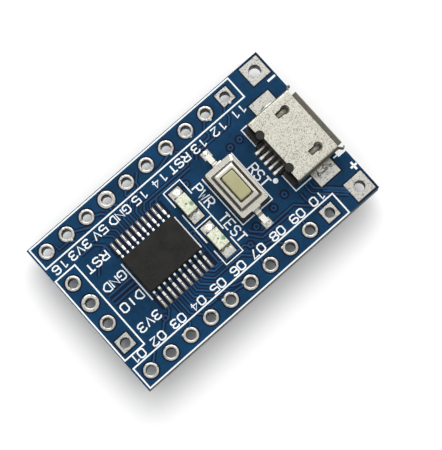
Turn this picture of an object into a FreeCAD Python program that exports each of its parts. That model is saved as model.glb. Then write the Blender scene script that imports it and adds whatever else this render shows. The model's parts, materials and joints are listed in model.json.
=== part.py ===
import FreeCAD, Part
import os
from types import SimpleNamespace

import Sketcher

# A small microcontroller board: a two-sided circuit board with twenty header holes, four
# debug holes and two power holes, a micro USB socket, a reset button, two indicator
# lights and the controller on top, and the 3.3 V regulator with its chip capacitors and
# resistors underneath.
#
# Frame: X runs along the board towards the USB socket, Y across it, Z up. The origin is under
# the middle of the board, on the surface that the regulator, the lowest part, stands on.

V = FreeCAD.Vector
TOP = 1
UNDERSIDE = -1

SIZES = {
    # the bare board and its layers
    "board_length": 29.5,
    "board_width": 17.9,
    "board_thickness": 1.6,
    "corner_radius": 0.15,
    "notch_depth": 0.95,
    "notch_width": 8.3,
    "mask_thickness": 0.03,
    "mask_clearance": 0.05,
    "pad_thickness": 0.05,
    "plating": 0.05,
    # header, debug and power holes
    "pin_pitch": 2.54,
    "row_spacing": 15.24,
    "row_start": -13.33,
    "bore_diameter": 1.0,
    "pin_pad": 1.5,
    "large_pin_pad": 1.7,
    "debug_x": -13.45,
    "debug_y": -0.2,
    "power_x": 13.4,
    "power_y": 7.6,
    "power_pad": 2.2,
    "plus_bore": 1.1,
    "minus_bore": 1.2,
    # controller, in a thin 20-lead package
    "chip_x": -5.28,
    "chip_y": 0.02,
    "chip_length": 6.5,
    "chip_width": 4.4,
    "chip_bottom": 0.1,
    "chip_height": 1.1,
    "chip_draft": 0.1,
    "lead_pitch": 0.65,
    "lead_width": 0.25,
    "lead_thickness": 0.13,
    "chip_span": 6.4,
    "chip_foot": 0.6,
    "lead_inside": 0.7,
    "paddle_length": 4.2,
    "paddle_width": 2.6,
    "die_length": 2.4,
    "die_width": 1.9,
    "die_thickness": 0.2,
    "chip_pad_width": 0.3,
    "chip_pad_start": 2.75,
    "chip_pad_end": 4.1,
    # micro USB socket, measured back from the front edge of its shell
    "socket_x": 14.1,
    "socket_y": 0.05,
    "shell_length": 5.05,
    "shell_width": 7.5,
    "shell_height": 2.45,
    "shell_floor_width": 5.8,
    "shell_shoulder": 0.85,
    "shell_wall": 0.25,
    "rear_notch_inset": 0.1,
    "roof_relief_depth": 0.6,
    "floor_relief_depth": 1.2,
    "floor_relief_extra": 0.3,
    "cut_margin": 0.1,
    "tail_pad_overlap": 0.25,
    "tail_pad_margin": 0.05,
    "tail_pad_extra": 0.12,
    "shell_corner": 0.5,
    "lip_reach": 0.5,
    "lip_rise": 0.28,
    "latch_y": 2.38,
    "latch_slot": 0.62,
    "latch_round": 0.95,
    "latch_front": 1.0,
    "latch_length": 1.5,
    "rear_notch_y": 2.1,
    "rear_notch_radius": 0.5,
    "foot_front": 1.7,
    "foot_length": 1.1,
    "foot_reach": 4.15,
    "contact_pitch": 0.65,
    "contact_width": 0.25,
    "contact_thickness": 0.15,
    "tail_end": 6.1,
    "tongue_bottom": 1.1,
    "tongue_thickness": 0.65,
    "tongue_width": 3.7,
    "anchor_front": 1.0,
    "anchor_length": 2.5,
    "anchor_start": 3.3,
    "anchor_end": 5.3,
    # reset button
    "button_x": 4.38,
    "button_y": 0.05,
    "button_pad_start": 4.0,
    "button_pad_end": 4.85,
    "button_pad_width": 0.9,
    "case_width": 3.4,
    "case_length": 5.7,
    "case_height": 1.5,
    "cavity_width": 2.5,
    "cavity_length": 4.3,
    "cavity_floor": 0.5,
    "cover_width": 3.3,
    "cover_length": 5.6,
    "cover_thickness": 0.2,
    "rim_rise": 0.35,
    "rim_width": 2.75,
    "rim_length": 4.55,
    "rim_slope": 0.3,
    "rim_skin": 0.15,
    "window_width": 1.5,
    "window_length": 3.0,
    "plunger_width": 1.35,
    "plunger_length": 2.85,
    "plunger_top": 2.5,
    "plunger_radius": 0.2,
    "flange_width": 1.8,
    "flange_length": 3.4,
    "flange_top": 1.86,
    "flange_bottom": 1.5,
    "nub_radius": 0.45,
    "nub_bottom": 0.98,
    "dome_radius": 1.2,
    "dome_rise": 0.42,
    "dome_thickness": 0.06,
    "terminal_width": 0.6,
    "terminal_thickness": 0.15,
    "terminal_tip": 4.35,
    # indicator lights
    "power_light_x": -0.3,
    "power_light_y": 2.1,
    "test_light_x": -0.22,
    "test_light_y": -2.45,
    "light_length": 2.0,
    "light_width": 1.25,
    "light_base_height": 0.35,
    "light_height": 0.8,
    "light_lens_length": 1.3,
    "light_end": 0.35,
    "light_scallop": 0.2,
    "light_plating": 0.03,
    "light_pad_width": 1.28,
    "light_pad_start": 0.75,
    "light_pad_end": 1.95,
    # regulator under the board
    "regulator_x": 1.6,
    "regulator_height": 1.75,
    "regulator_length": 6.5,
    "regulator_width": 3.5,
    "regulator_bottom": 0.1,
    "regulator_draft": 0.15,
    "regulator_span": 7.0,
    "regulator_foot": 0.9,
    "regulator_lead": 0.7,
    "regulator_tab": 3.0,
    "regulator_pitch": 2.3,
    "regulator_metal": 0.26,
}

# Chip capacitors and resistors on the underside: name, middle (x, y), length, width, height.
# The long side lies along X.
CAPACITORS = [
    ("input_capacitor", 9.6, 4.3, 2.0, 1.25, 0.9),
    ("output_capacitor", 9.6, 2.1, 2.0, 1.25, 0.9),
    ("core_capacitor", -5.2, 3.4, 1.6, 0.8, 0.8),
    ("supply_capacitor", -5.2, -3.4, 1.6, 0.8, 0.8),
    ("reset_capacitor", -9.3, -2.2, 1.6, 0.8, 0.8),
]
RESISTORS = [
    ("reset_resistor", -9.3, 1.6, 1.6, 0.8, 0.45),
    ("power_light_resistor", 9.6, -2.3, 1.6, 0.8, 0.45),
    ("test_light_resistor", 9.6, -4.3, 1.6, 0.8, 0.45),
]
CHIP_END = 0.35
CHIP_PLATING = 0.03
FILM_THICKNESS = 0.03

HEADER_PINS = 10
LARGE_PAD_PIN = 3
DEBUG_PINS = 4
CHIP_LEADS_PER_SIDE = 10
USB_CONTACTS = 5

doc = FreeCAD.newDocument("controller_board")
sheet = doc.addObject("Spreadsheet::Sheet", "Sizes")


# ---------------------------------------------------------------- sizes and expressions

class Size:
    """A length that carries its number and the sheet expression that it comes from."""

    def __init__(self, number, text):
        self.number = number
        self.text = text

    def __add__(self, other):
        return Size(self.number + size(other).number, f"({self.text} + {size(other).text})")

    def __sub__(self, other):
        return Size(self.number - size(other).number, f"({self.text} - {size(other).text})")

    def __mul__(self, factor):
        return Size(self.number * size(factor).number, f"({self.text} * {size(factor).text})")

    def __truediv__(self, factor):
        return Size(self.number / size(factor).number, f"({self.text} / {size(factor).text})")

    def __rsub__(self, other):
        return size(other) - self

    def __neg__(self):
        return Size(-self.number, f"(0 - {self.text})")

    __radd__ = __add__
    __rmul__ = __mul__


def size(value):
    """The value as a Size, so that bare numbers can stand in any expression."""
    return value if isinstance(value, Size) else Size(float(value), repr(float(value)))


def fill_sheet():
    """Write every driving size into the sheet and return them by name."""
    for row, (name, number) in enumerate(SIZES.items(), start=1):
        sheet.set(f"A{row}", name)
        sheet.set(f"B{row}", str(number))
        sheet.setAlias(f"B{row}", name)
    doc.recompute()
    return SimpleNamespace(**{name: Size(number, f"Sizes.{name}") for name, number in SIZES.items()})


dim = fill_sheet()
board_bottom = dim.regulator_height + dim.pad_thickness
board_top = board_bottom + dim.board_thickness


def drive(feature, **sizes):
    """Bind properties of a feature to sheet expressions."""
    for name, value in sizes.items():
        feature.setExpression(name, size(value).text)


class Site:
    """Where a component stands: its middle on the board and the face that it is soldered to."""

    def __init__(self, x, y, side=TOP, above=None):
        self.x = size(x)
        self.y = size(y)
        self.side = side
        above = dim.pad_thickness if above is None else above
        self.z = board_top + above if side == TOP else board_bottom - above

    def place(self, feature, x=0, y=0, z=0):
        """Put the feature's own origin at a point measured from the site, away from the board."""
        turn = 0 if self.side == TOP else 180
        feature.Placement = FreeCAD.Placement(V(0, 0, 0), FreeCAD.Rotation(V(1, 0, 0), turn))
        spot = {
            "Placement.Base.x": self.x + x,
            "Placement.Base.y": self.y + size(y) * self.side,
            "Placement.Base.z": self.z + size(z) * self.side,
        }
        drive(feature, **spot)
        return feature


board_site = Site(0, 0, TOP, above=0)
chip_site = Site(dim.chip_x, dim.chip_y)
socket_site = Site(dim.socket_x, dim.socket_y)
button_site = Site(dim.button_x, dim.button_y)
regulator_site = Site(dim.regulator_x, 0, UNDERSIDE)
face_sites = {TOP: board_site, UNDERSIDE: Site(0, 0, UNDERSIDE, above=0)}


# ---------------------------------------------------------------- primitives and booleans

def block(name, site, middle, length, width, bottom, top):
    """A box about middle (x, y) of its site, from bottom to top."""
    solid = doc.addObject("Part::Box", name)
    drive(solid, Length=length, Width=width, Height=size(top) - bottom)
    return site.place(solid, size(middle[0]) - size(length) / 2, size(middle[1]) - size(width) / 2, bottom)


def rod(name, site, middle, radius, bottom, top):
    """An upright cylinder about middle (x, y) of its site, from bottom to top."""
    solid = doc.addObject("Part::Cylinder", name)
    drive(solid, Radius=radius, Height=size(top) - bottom)
    return site.place(solid, middle[0], middle[1], bottom)


def joined(name, pieces):
    """One object from several; pieces that do not touch stay separate solids."""
    if len(pieces) == 1:
        return pieces[0]
    whole = doc.addObject("Part::MultiFuse", name)
    whole.Shapes = pieces
    return whole


def cut(name, base, tools):
    """The base less every tool."""
    result = doc.addObject("Part::Cut", name)
    result.Base = base
    result.Tool = joined(name + "_tools", tools)
    return result


# ---------------------------------------------------------------- PartDesign helpers

def new_body(name):
    body = doc.addObject("PartDesign::Body", name)
    body.AllowCompound = True
    return body


def origin_of(body, role):
    return next(feature for feature in body.Origin.OriginFeatures if feature.Role == role)


def new_sketch(body, plane="XY_Plane", height=0):
    """A sketch on one of the body's origin planes, moved along the plane's normal by height."""
    sketch = body.newObject("Sketcher::SketchObject", body.Name + "_sketch")
    sketch.AttachmentSupport = [(origin_of(body, plane), "")]
    sketch.MapMode = "FlatFace"
    drive(sketch, **{"AttachmentOffset.Base.z": height})
    return sketch


def tie(sketch, kind, geometry, point, value):
    """Fix one coordinate of a sketch point, or a radius, to a sheet expression."""
    value = size(value)
    ends = (geometry,) if kind == "Radius" else (-1, 1, geometry, point)
    index = sketch.addConstraint(Sketcher.Constraint(kind, *ends, value.number))
    sketch.setExpression(f"Constraints[{index}]", value.text)


def outline(sketch, points):
    """A closed outline of straight lines through the points."""
    corners = [V(size(x).number, size(y).number, 0) for x, y in points]
    lines = [
        sketch.addGeometry(Part.LineSegment(start, end), False)
        for start, end in zip(corners, corners[1:] + corners[:1])
    ]
    for line, following, (x, y) in zip(lines, lines[1:] + lines[:1], points):
        sketch.addConstraint(Sketcher.Constraint("Coincident", line, 2, following, 1))
        tie(sketch, "DistanceX", line, 1, x)
        tie(sketch, "DistanceY", line, 1, y)


def rectangle(sketch, length, width, middle=(0, 0)):
    x, y = size(middle[0]), size(middle[1])
    dx, dy = size(length) / 2, size(width) / 2
    outline(sketch, [(x - dx, y - dy), (x + dx, y - dy), (x + dx, y + dy), (x - dx, y + dy)])


def circle(sketch, x, y, radius):
    centre = V(size(x).number, size(y).number, 0)
    index = sketch.addGeometry(Part.Circle(centre, V(0, 0, 1), size(radius).number), False)
    tie(sketch, "DistanceX", index, 3, x)
    tie(sketch, "DistanceY", index, 3, y)
    tie(sketch, "Radius", index, 3, radius)


def extrude(body, sketch, length, kind="Pad", both_ways=False, back=False, draft=0):
    """Pad or pocket a sketch; draft is how far each side leans in over the length."""
    feature = body.newObject("PartDesign::" + kind, body.Name + "_" + kind.lower())
    feature.Profile = sketch
    drive(feature, Length=length)
    feature.Midplane = both_ways
    feature.Reversed = back
    if draft:
        drive(feature, TaperAngle=Size(-1, f"-atan({size(draft).text} / {size(length).text})"))
    body.Tip = feature
    return feature


def soften(body, radius, wanted):
    """Round the edges of the body so far that the wanted function picks."""
    doc.recompute()
    base = body.Tip
    names = [f"Edge{i}" for i, edge in enumerate(base.Shape.Edges, start=1) if wanted(edge)]
    feature = body.newObject("PartDesign::Fillet", body.Name + "_fillet")
    feature.Base = (base, names)
    drive(feature, Radius=radius)
    body.Tip = feature


def runs_along(edge, axis, lean=0.99):
    """True for a straight edge that runs nearly along the axis."""
    straight = isinstance(edge.Curve, Part.Line)
    return straight and abs(edge.tangentAt(edge.FirstParameter).dot(axis)) > lean


def repeat(body, axis, pitch, count):
    """Repeat the whole body along an axis, centred on where it stands."""
    pattern = body.newObject("PartDesign::LinearPattern", body.Name + "_row")
    pattern.Originals = [body.Tip]
    pattern.TransformMode = "Whole shape"
    pattern.Direction = (origin_of(body, axis), [""])
    drive(pattern, Length=size(pitch) * (count - 1))
    pattern.Occurrences = count
    body.Tip = pattern


def mirror(body, plane):
    copy = body.newObject("PartDesign::Mirrored", body.Name + "_mirrored")
    copy.Originals = [body.Tip]
    copy.TransformMode = "Whole shape"
    copy.MirrorPlane = (origin_of(body, plane), [""])
    body.Tip = copy


def moulded_block(name, site, length, width, bottom, top, draft):
    """A moulded package: two drafted halves that meet at the parting line halfway up."""
    body = new_body(name)
    half = (size(top) - bottom) / 2
    for back in (False, True):
        sketch = new_sketch(body, height=size(bottom) + half)
        rectangle(sketch, length, width)
        extrude(body, sketch, half, back=back, draft=draft)
    return site.place(body)


def gull_wing(inner, exit_level, edge, tip, foot, metal):
    """Profile of a lead that leaves a package, drops to the pad and ends in a flat foot."""
    knee = (size(edge) + (size(tip) - foot)) / 2
    return [
        (inner, exit_level),
        (knee - metal / 2, exit_level),
        (size(tip) - foot, 0),
        (tip, 0),
        (tip, metal),
        (size(tip) - foot + metal, metal),
        (knee + metal / 2, exit_level + metal),
        (inner, exit_level + metal),
    ]


# ---------------------------------------------------------------- board, masks and pads

mask_openings = {TOP: [], UNDERSIDE: []}


def open_mask(side, x, y, length, width, round_pad=False):
    """Leave a window in the solder mask around a pad."""
    name = "mask_window"
    site = face_sites[side]
    margin = dim.mask_clearance * 2
    if round_pad:
        window = rod(name, site, (x, y), (size(length) + margin) / 2, 0, dim.mask_thickness)
    else:
        window = block(name, site, (x, y), length + margin, width + margin, 0, dim.mask_thickness)
    mask_openings[side].append(window)


def solder_pad(site, x, y, length, width):
    """A flat pad under a component, with its window in the mask; x and y are from the site."""
    length, width = size(length), size(width)
    open_mask(site.side, site.x + x, (site.y + size(y) * site.side) * site.side, length, width)
    return block("pad", site, (x, y), length, width, -dim.pad_thickness, 0)


def hole_groups():
    """Every plated hole by group: x, y, bore, pad size and whether the pad is round."""
    groups = {}
    for name, side in (("header_holes_upper", 1), ("header_holes_lower", -1)):
        groups[name] = []
        for pin in range(HEADER_PINS):
            large = side == 1 and pin == LARGE_PAD_PIN
            width = dim.large_pin_pad if large else dim.pin_pad
            x = dim.row_start + dim.pin_pitch * pin
            y = dim.row_spacing / 2 * side
            groups[name].append((x, y, dim.bore_diameter, width, pin < HEADER_PINS - 1))
    groups["debug_port_holes"] = []
    for pin in range(DEBUG_PINS):
        width = dim.large_pin_pad if pin == 1 else dim.pin_pad
        y = dim.debug_y + dim.pin_pitch * ((DEBUG_PINS - 1) / 2 - pin)
        last = pin == DEBUG_PINS - 1
        groups["debug_port_holes"].append((dim.debug_x, y, dim.bore_diameter, width, not last))
    groups["power_holes"] = [
        (dim.power_x, dim.power_y, dim.minus_bore, dim.power_pad, False),
        (dim.power_x, -dim.power_y, dim.plus_bore, dim.power_pad, False),
    ]
    return groups


def circuit_board(groups):
    """The bare glass-epoxy board, drilled, with the notch that the USB socket overhangs."""
    right, wide, notch = dim.board_length / 2, dim.board_width / 2, dim.notch_width / 2
    floor = right - dim.notch_depth
    body = new_body("printed_circuit_board")
    shape = new_sketch(body)
    outline(shape, [
        (-right, -wide), (right, -wide), (right, -notch), (floor, -notch),
        (floor, notch), (right, notch), (right, wide), (-right, wide),
    ])
    extrude(body, shape, dim.board_thickness)
    drills = new_sketch(body)
    for holes in groups.values():
        for x, y, bore, _, _ in holes:
            circle(drills, x, y, bore / 2 + dim.plating)
    extrude(body, drills, dim.board_thickness, kind="Pocket", back=True)
    corner_x = right.number - 0.01
    corner_y = wide.number - 0.01
    soften(body, dim.corner_radius, lambda edge: runs_along(edge, V(0, 0, 1))
           and abs(edge.CenterOfMass.x) > corner_x and abs(edge.CenterOfMass.y) > corner_y)
    board_site.place(body, z=-dim.board_thickness)
    return body


def plated_holes(name, holes):
    """Barrels through the board, each flanged by a pad on both faces, like hollow rivets."""
    metal = []
    bores = []
    low = -dim.board_thickness - dim.pad_thickness
    for x, y, bore, width, round_pad in holes:
        metal.append(rod(name + "_barrel", board_site, (x, y), bore / 2 + dim.plating, low,
                         dim.pad_thickness))
        for bottom, top in ((0, dim.pad_thickness), (low, -dim.board_thickness)):
            if round_pad:
                metal.append(rod(name + "_pad", board_site, (x, y), width / 2, bottom, top))
            else:
                metal.append(block(name + "_pad", board_site, (x, y), width, width, bottom, top))
        for side in (TOP, UNDERSIDE):
            open_mask(side, x, y * side, width, width, round_pad)
        bores.append(rod(name + "_bore", board_site, (x, y), bore / 2, low, dim.pad_thickness))
    return cut(name, joined(name + "_metal", metal), bores)


def solder_mask(name, side):
    """The thin lacquer on one face of the board, open over every pad."""
    site = face_sites[side]
    sheet_of_mask = block(name + "_sheet", site, (0, 0), dim.board_length, dim.board_width, 0,
                          dim.mask_thickness)
    notch_middle = (dim.board_length - dim.notch_depth) / 2
    notch = block(name + "_notch", site, (notch_middle, 0), dim.notch_depth, dim.notch_width, 0,
                  dim.mask_thickness)
    return cut(name, sheet_of_mask, [notch] + mask_openings[side])


# ---------------------------------------------------------------- controller

def controller():
    """The controller: leads, die on its paddle, and the moulding that is cast around them."""
    middle = (dim.chip_bottom + dim.chip_height) / 2
    exit_level = middle - dim.lead_thickness / 2
    edge = dim.chip_width / 2

    leads = new_body("chip_leads")
    profile = new_sketch(leads, "YZ_Plane", -dim.lead_pitch * (CHIP_LEADS_PER_SIDE - 1) / 2)
    outline(profile, gull_wing(edge - dim.lead_inside, exit_level, edge, dim.chip_span / 2,
                               dim.chip_foot, dim.lead_thickness))
    extrude(leads, profile, dim.lead_width, both_ways=True)
    repeat(leads, "X_Axis", dim.lead_pitch, CHIP_LEADS_PER_SIDE)
    mirror(leads, "XZ_Plane")
    chip_site.place(leads)

    paddle_top = exit_level + dim.lead_thickness
    paddle = block("chip_paddle", chip_site, (0, 0), dim.paddle_length, dim.paddle_width, exit_level,
                   paddle_top)
    die = block("chip_die", chip_site, (0, 0), dim.die_length, dim.die_width, paddle_top,
                paddle_top + dim.die_thickness)
    moulding = moulded_block("chip_moulding", chip_site, dim.chip_length, dim.chip_width,
                             dim.chip_bottom, dim.chip_height, dim.chip_draft)
    package = cut("chip_package", moulding, [leads, paddle, die])

    reach = dim.chip_pad_end - dim.chip_pad_start
    pads = [
        solder_pad(chip_site, dim.lead_pitch * (lead - (CHIP_LEADS_PER_SIDE - 1) / 2),
                   (dim.chip_pad_end + dim.chip_pad_start) / 2 * side, dim.chip_pad_width, reach)
        for side in (-1, 1) for lead in range(CHIP_LEADS_PER_SIDE)
    ]
    return {
        "chip_package": package,
        "chip_leads": leads,
        "chip_paddle": paddle,
        "chip_die": die,
        "chip_pads": joined("chip_pads", pads),
    }


# ---------------------------------------------------------------- USB socket

def socket_profile(inset):
    """Section of the socket seen from the front, inset from the outside of the shell."""
    side = dim.shell_width / 2 - inset
    floor = dim.shell_floor_width / 2 - inset * 0.4
    shoulder = dim.shell_shoulder + inset * 0.4
    top = dim.shell_height - inset
    return [(-floor, inset), (floor, inset), (side, shoulder), (side, top), (-side, top), (-side, shoulder)]


def shell_tube():
    """The bent sheet-metal tube of the socket, open at the front and the back."""
    body = new_body("shell_tube")
    shape = new_sketch(body, "YZ_Plane")
    outline(shape, socket_profile(size(0)))
    extrude(body, shape, dim.shell_length, back=True)
    high = dim.shell_height.number / 2
    soften(body, dim.shell_corner, lambda edge: runs_along(edge, V(1, 0, 0)) and edge.CenterOfMass.z > high)
    hollow = new_sketch(body, "YZ_Plane")
    outline(hollow, socket_profile(dim.shell_wall))
    extrude(body, hollow, dim.shell_length, kind="Pocket")
    return socket_site.place(body)


def shell_lips():
    """The flared lips round the mouth of the shell that guide the plug in."""
    reach, rise, wall = dim.lip_reach, dim.lip_rise, dim.shell_wall
    lips = []
    for name, level, way, width in (
        ("top_lip", dim.shell_height, 1, dim.shell_width - dim.shell_corner * 2.4),
        ("bottom_lip", size(0), -1, dim.shell_floor_width - 0.6),
    ):
        body = new_body(name)
        profile = new_sketch(body, "XZ_Plane")
        outline(profile, [
            (0, level - wall * way), (0, level),
            (reach - wall / 2, level + rise * way), (reach, level + (rise - wall) * way),
        ])
        extrude(body, profile, width, both_ways=True)
        lips.append(socket_site.place(body))
    side = dim.shell_width / 2
    body = new_body("side_lips")
    profile = new_sketch(body, "XY_Plane", dim.shell_shoulder)
    outline(profile, [(0, side - wall), (0, side), (reach - wall / 2, side + rise),
                      (reach, side + rise - wall)])
    extrude(body, profile, dim.shell_height - dim.shell_corner - dim.shell_shoulder)
    mirror(body, "XZ_Plane")
    lips.append(socket_site.place(body))
    return lips


def shell_feet():
    """The tabs on both sides of the shell that are soldered to the anchor pads."""
    body = new_body("shell_feet")
    side, wall = dim.shell_width / 2, dim.shell_wall
    profile = new_sketch(body, "YZ_Plane", -dim.foot_front)
    outline(profile, [
        (side - wall, 0), (dim.foot_reach, 0), (dim.foot_reach, wall),
        (side, wall), (side, dim.shell_shoulder), (side - wall, dim.shell_shoulder),
    ])
    extrude(body, profile, dim.foot_length, back=True)
    mirror(body, "XZ_Plane")
    return socket_site.place(body)


def shell_windows():
    """Cutters for the latch keyholes, the notches in the roof's rear edge and the relief in the floor."""
    low, high = dim.shell_height - dim.shell_wall * 1.5, dim.shell_height + 1
    cutters = []
    for side in (-1, 1):
        y = dim.latch_y * side
        slot_middle = -(dim.latch_front + dim.latch_length / 2)
        round_middle = -(dim.latch_front + dim.latch_round / 2)
        cutters.append(block("latch_slot_cut", socket_site, (slot_middle, y), dim.latch_length,
                             dim.latch_slot, low, high))
        cutters.append(rod("latch_round_cut", socket_site, (round_middle, y), dim.latch_round / 2, low, high))
        y = dim.rear_notch_y * side
        cutters.append(rod("rear_notch_cut", socket_site, (-dim.shell_length + dim.rear_notch_inset, y),
                           dim.rear_notch_radius, low, high))
    relief = dim.rear_notch_y * 2 - dim.rear_notch_radius
    rear = -dim.shell_length
    cutters.append(block("rear_relief_cut", socket_site, (rear, 0), dim.roof_relief_depth, relief, low, high))
    cutters.append(block("floor_relief_cut", socket_site, (rear, 0), dim.floor_relief_depth,
                         relief + dim.floor_relief_extra, -dim.cut_margin, dim.shell_wall + dim.cut_margin))
    return cutters


def socket_contacts():
    """Five spring contacts: a tail on its pad, a riser through the insulator, a blade on the tongue."""
    metal, level = dim.contact_thickness, dim.tongue_bottom - dim.contact_thickness
    rear, blade_end = -dim.shell_length, size(-0.9)
    body = new_body("usb_contacts")
    profile = new_sketch(body, "XZ_Plane", dim.contact_pitch * (USB_CONTACTS - 1) / 2)
    outline(profile, [
        (-dim.tail_end, 0), (rear + 0.35, 0), (rear + 0.45, level), (blade_end, level),
        (blade_end, level + metal), (rear + 0.3, level + metal), (rear + 0.2, metal), (-dim.tail_end, metal),
    ])
    extrude(body, profile, dim.contact_width, both_ways=True)
    repeat(body, "Y_Axis", dim.contact_pitch, USB_CONTACTS)
    return socket_site.place(body)


def socket_insulator(contacts):
    """The black moulding inside the shell: a rear plug, the tongue, two bosses and a ribbed ledge."""
    clearance = dim.shell_wall + 0.02
    rear, plug_front = -dim.shell_length + 0.12, -dim.shell_length / 2
    plug = new_body("insulator_plug")
    shape = new_sketch(plug, "YZ_Plane", rear)
    outline(shape, socket_profile(clearance))
    extrude(plug, shape, plug_front - rear)
    socket_site.place(plug)
    top_edge = dim.tongue_bottom + dim.tongue_thickness
    tongue = block("insulator_tongue", socket_site, (plug_front + 0.9, 0), 2.2, dim.tongue_width,
                   dim.tongue_bottom, top_edge)
    bosses = [
        rod("insulator_boss", socket_site, (-dim.shell_length + 0.22, dim.rear_notch_y * side),
            dim.rear_notch_radius - 0.06, dim.shell_height / 2, dim.shell_height - 0.08)
        for side in (-1, 1)
    ]
    ledge_length = 0.8
    ledge_middle = rear - ledge_length / 2
    ledge = block("insulator_ledge", socket_site, (ledge_middle, 0), ledge_length,
                  dim.contact_pitch * (USB_CONTACTS + 0.4), 0, dim.shell_height / 3)
    grooves = [
        block("ledge_groove", socket_site,
              (ledge_middle, dim.contact_pitch * (index - (USB_CONTACTS - 1) / 2)),
              ledge_length, dim.contact_width + 0.08, 0, dim.shell_height)
        for index in range(USB_CONTACTS)
    ]
    corners = rounded_corner_cutters(clearance)
    solid = joined("insulator_solid", [plug, tongue, ledge] + bosses)
    return cut("usb_insulator", solid, grooves + corners + [contacts])


def rounded_corner_cutters(clearance):
    """Bars that trim the insulator's top corners clear of the bends in the shell."""
    trim = dim.shell_corner - clearance + 0.1
    side, top = dim.shell_width / 2 - clearance, dim.shell_height - clearance
    return [
        block("corner_trim", socket_site, (-dim.shell_length / 2, (side - trim / 2) * way), dim.shell_length,
              trim, top - trim, top)
        for way in (-1, 1)
    ]


def usb_socket():
    tube = shell_tube()
    shell = cut("usb_shell", joined("shell_metal", [tube, shell_feet()] + shell_lips()), shell_windows())
    contacts = socket_contacts()
    tail_length = dim.tail_end - dim.shell_length + dim.tail_pad_overlap
    tail_middle = -(dim.tail_end + dim.tail_pad_margin - tail_length / 2)
    signal_pads = [
        solder_pad(socket_site, tail_middle, dim.contact_pitch * (index - (USB_CONTACTS - 1) / 2),
                   tail_length, dim.contact_width + dim.tail_pad_extra)
        for index in range(USB_CONTACTS)
    ]
    anchor_middle = -(dim.anchor_front + dim.anchor_length / 2)
    anchor_width = dim.anchor_end - dim.anchor_start
    anchor_pads = [
        solder_pad(socket_site, anchor_middle, (dim.anchor_start + anchor_width / 2) * side,
                   dim.anchor_length, anchor_width)
        for side in (-1, 1)
    ]
    return {
        "usb_shell": shell,
        "usb_insulator": socket_insulator(contacts),
        "usb_contacts": contacts,
        "usb_signal_pads": joined("usb_signal_pads", signal_pads),
        "usb_anchor_pads": joined("usb_anchor_pads", anchor_pads),
    }


# ---------------------------------------------------------------- reset button

def button_terminals():
    """Two terminals: one under the dome's rim, one that rises at the middle of the dome."""
    metal, floor, edge = dim.terminal_thickness, dim.cavity_floor, dim.case_length / 2
    foot = dim.terminal_tip - edge - 0.5
    level = floor - metal
    outside = gull_wing(0, level, edge + 0.1, dim.terminal_tip, foot, metal)[1:-1]
    rim_side = [(0.95, level)] + outside + [(0.95, floor)]
    sunk = level - metal
    step = edge - 0.6
    post_side = [(step + metal, level)] + outside + [
        (step, floor), (step, level), (0.25, level), (0.25, floor + 0.05),
        (-0.25, floor + 0.05), (-0.25, sunk), (step + metal, sunk),
    ]
    pieces = []
    for name, points, turned in (("rim_terminal", rim_side, 1), ("post_terminal", post_side, -1)):
        body = new_body(name)
        profile = new_sketch(body, "YZ_Plane")
        outline(profile, [(size(y) * turned, z) for y, z in points])
        extrude(body, profile, dim.terminal_width, both_ways=True)
        pieces.append(button_site.place(body))
    return pieces


def button_cover():
    """The pressed metal cover: a flat frame, a raised rim round the window, a clip at each end."""
    body = new_body("cover_plate")
    frame = new_sketch(body, height=dim.case_height)
    rectangle(frame, dim.cover_width, dim.cover_length)
    extrude(body, frame, dim.cover_thickness)
    frame_top = dim.case_height + dim.cover_thickness
    rim = new_sketch(body, height=frame_top)
    rectangle(rim, dim.rim_width, dim.rim_length)
    extrude(body, rim, dim.rim_rise, draft=dim.rim_slope)
    level = frame_top.number
    soften(body, 0.45, lambda edge: edge.BoundBox.ZMin > level - 0.01 and edge.BoundBox.ZLength > 0.3)
    inside = dim.rim_rise + dim.cover_thickness - dim.rim_skin
    inner_slope = dim.rim_slope * inside / dim.rim_rise
    hollow = new_sketch(body, height=dim.case_height)
    rectangle(hollow, dim.rim_width - dim.rim_skin * 2, dim.rim_length - dim.rim_skin * 2)
    extrude(body, hollow, inside, kind="Pocket", back=True, draft=inner_slope)
    window = new_sketch(body, height=dim.case_height)
    rectangle(window, dim.window_width, dim.window_length)
    extrude(body, window, dim.plunger_top, kind="Pocket", back=True)
    plate = button_site.place(body)
    clip = dim.terminal_thickness
    clips = [
        block("cover_clip", button_site, (0, (dim.case_length + clip) / 2 * side), 1.0, clip,
              dim.case_height / 2, dim.case_height + dim.cover_thickness)
        for side in (-1, 1)
    ]
    bridges = [
        block("clip_bridge", button_site, (0, (dim.cover_length / 2 + 0.05) * side), 1.0, 0.3,
              dim.case_height, dim.case_height + dim.cover_thickness)
        for side in (-1, 1)
    ]
    return joined("reset_cover", [plate] + clips + bridges)


def button_plunger():
    """The keycap: the stem that a finger presses, its retaining flange, and the nub on the dome."""
    body = new_body("reset_plunger")
    stem = new_sketch(body, height=dim.flange_bottom)
    rectangle(stem, dim.plunger_width, dim.plunger_length)
    extrude(body, stem, dim.plunger_top - dim.flange_bottom)
    soften(body, dim.plunger_radius, lambda edge: runs_along(edge, V(0, 0, 1)))
    top = dim.plunger_top.number
    soften(body, 0.06, lambda edge: edge.BoundBox.ZMin > top - 0.001)
    flange = new_sketch(body, height=dim.flange_bottom)
    rectangle(flange, dim.flange_width, dim.flange_length)
    extrude(body, flange, dim.flange_top - dim.flange_bottom)
    nub = new_sketch(body, height=dim.nub_bottom)
    circle(nub, 0, 0, dim.nub_radius)
    extrude(body, nub, dim.flange_bottom - dim.nub_bottom)
    return button_site.place(body)


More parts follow.
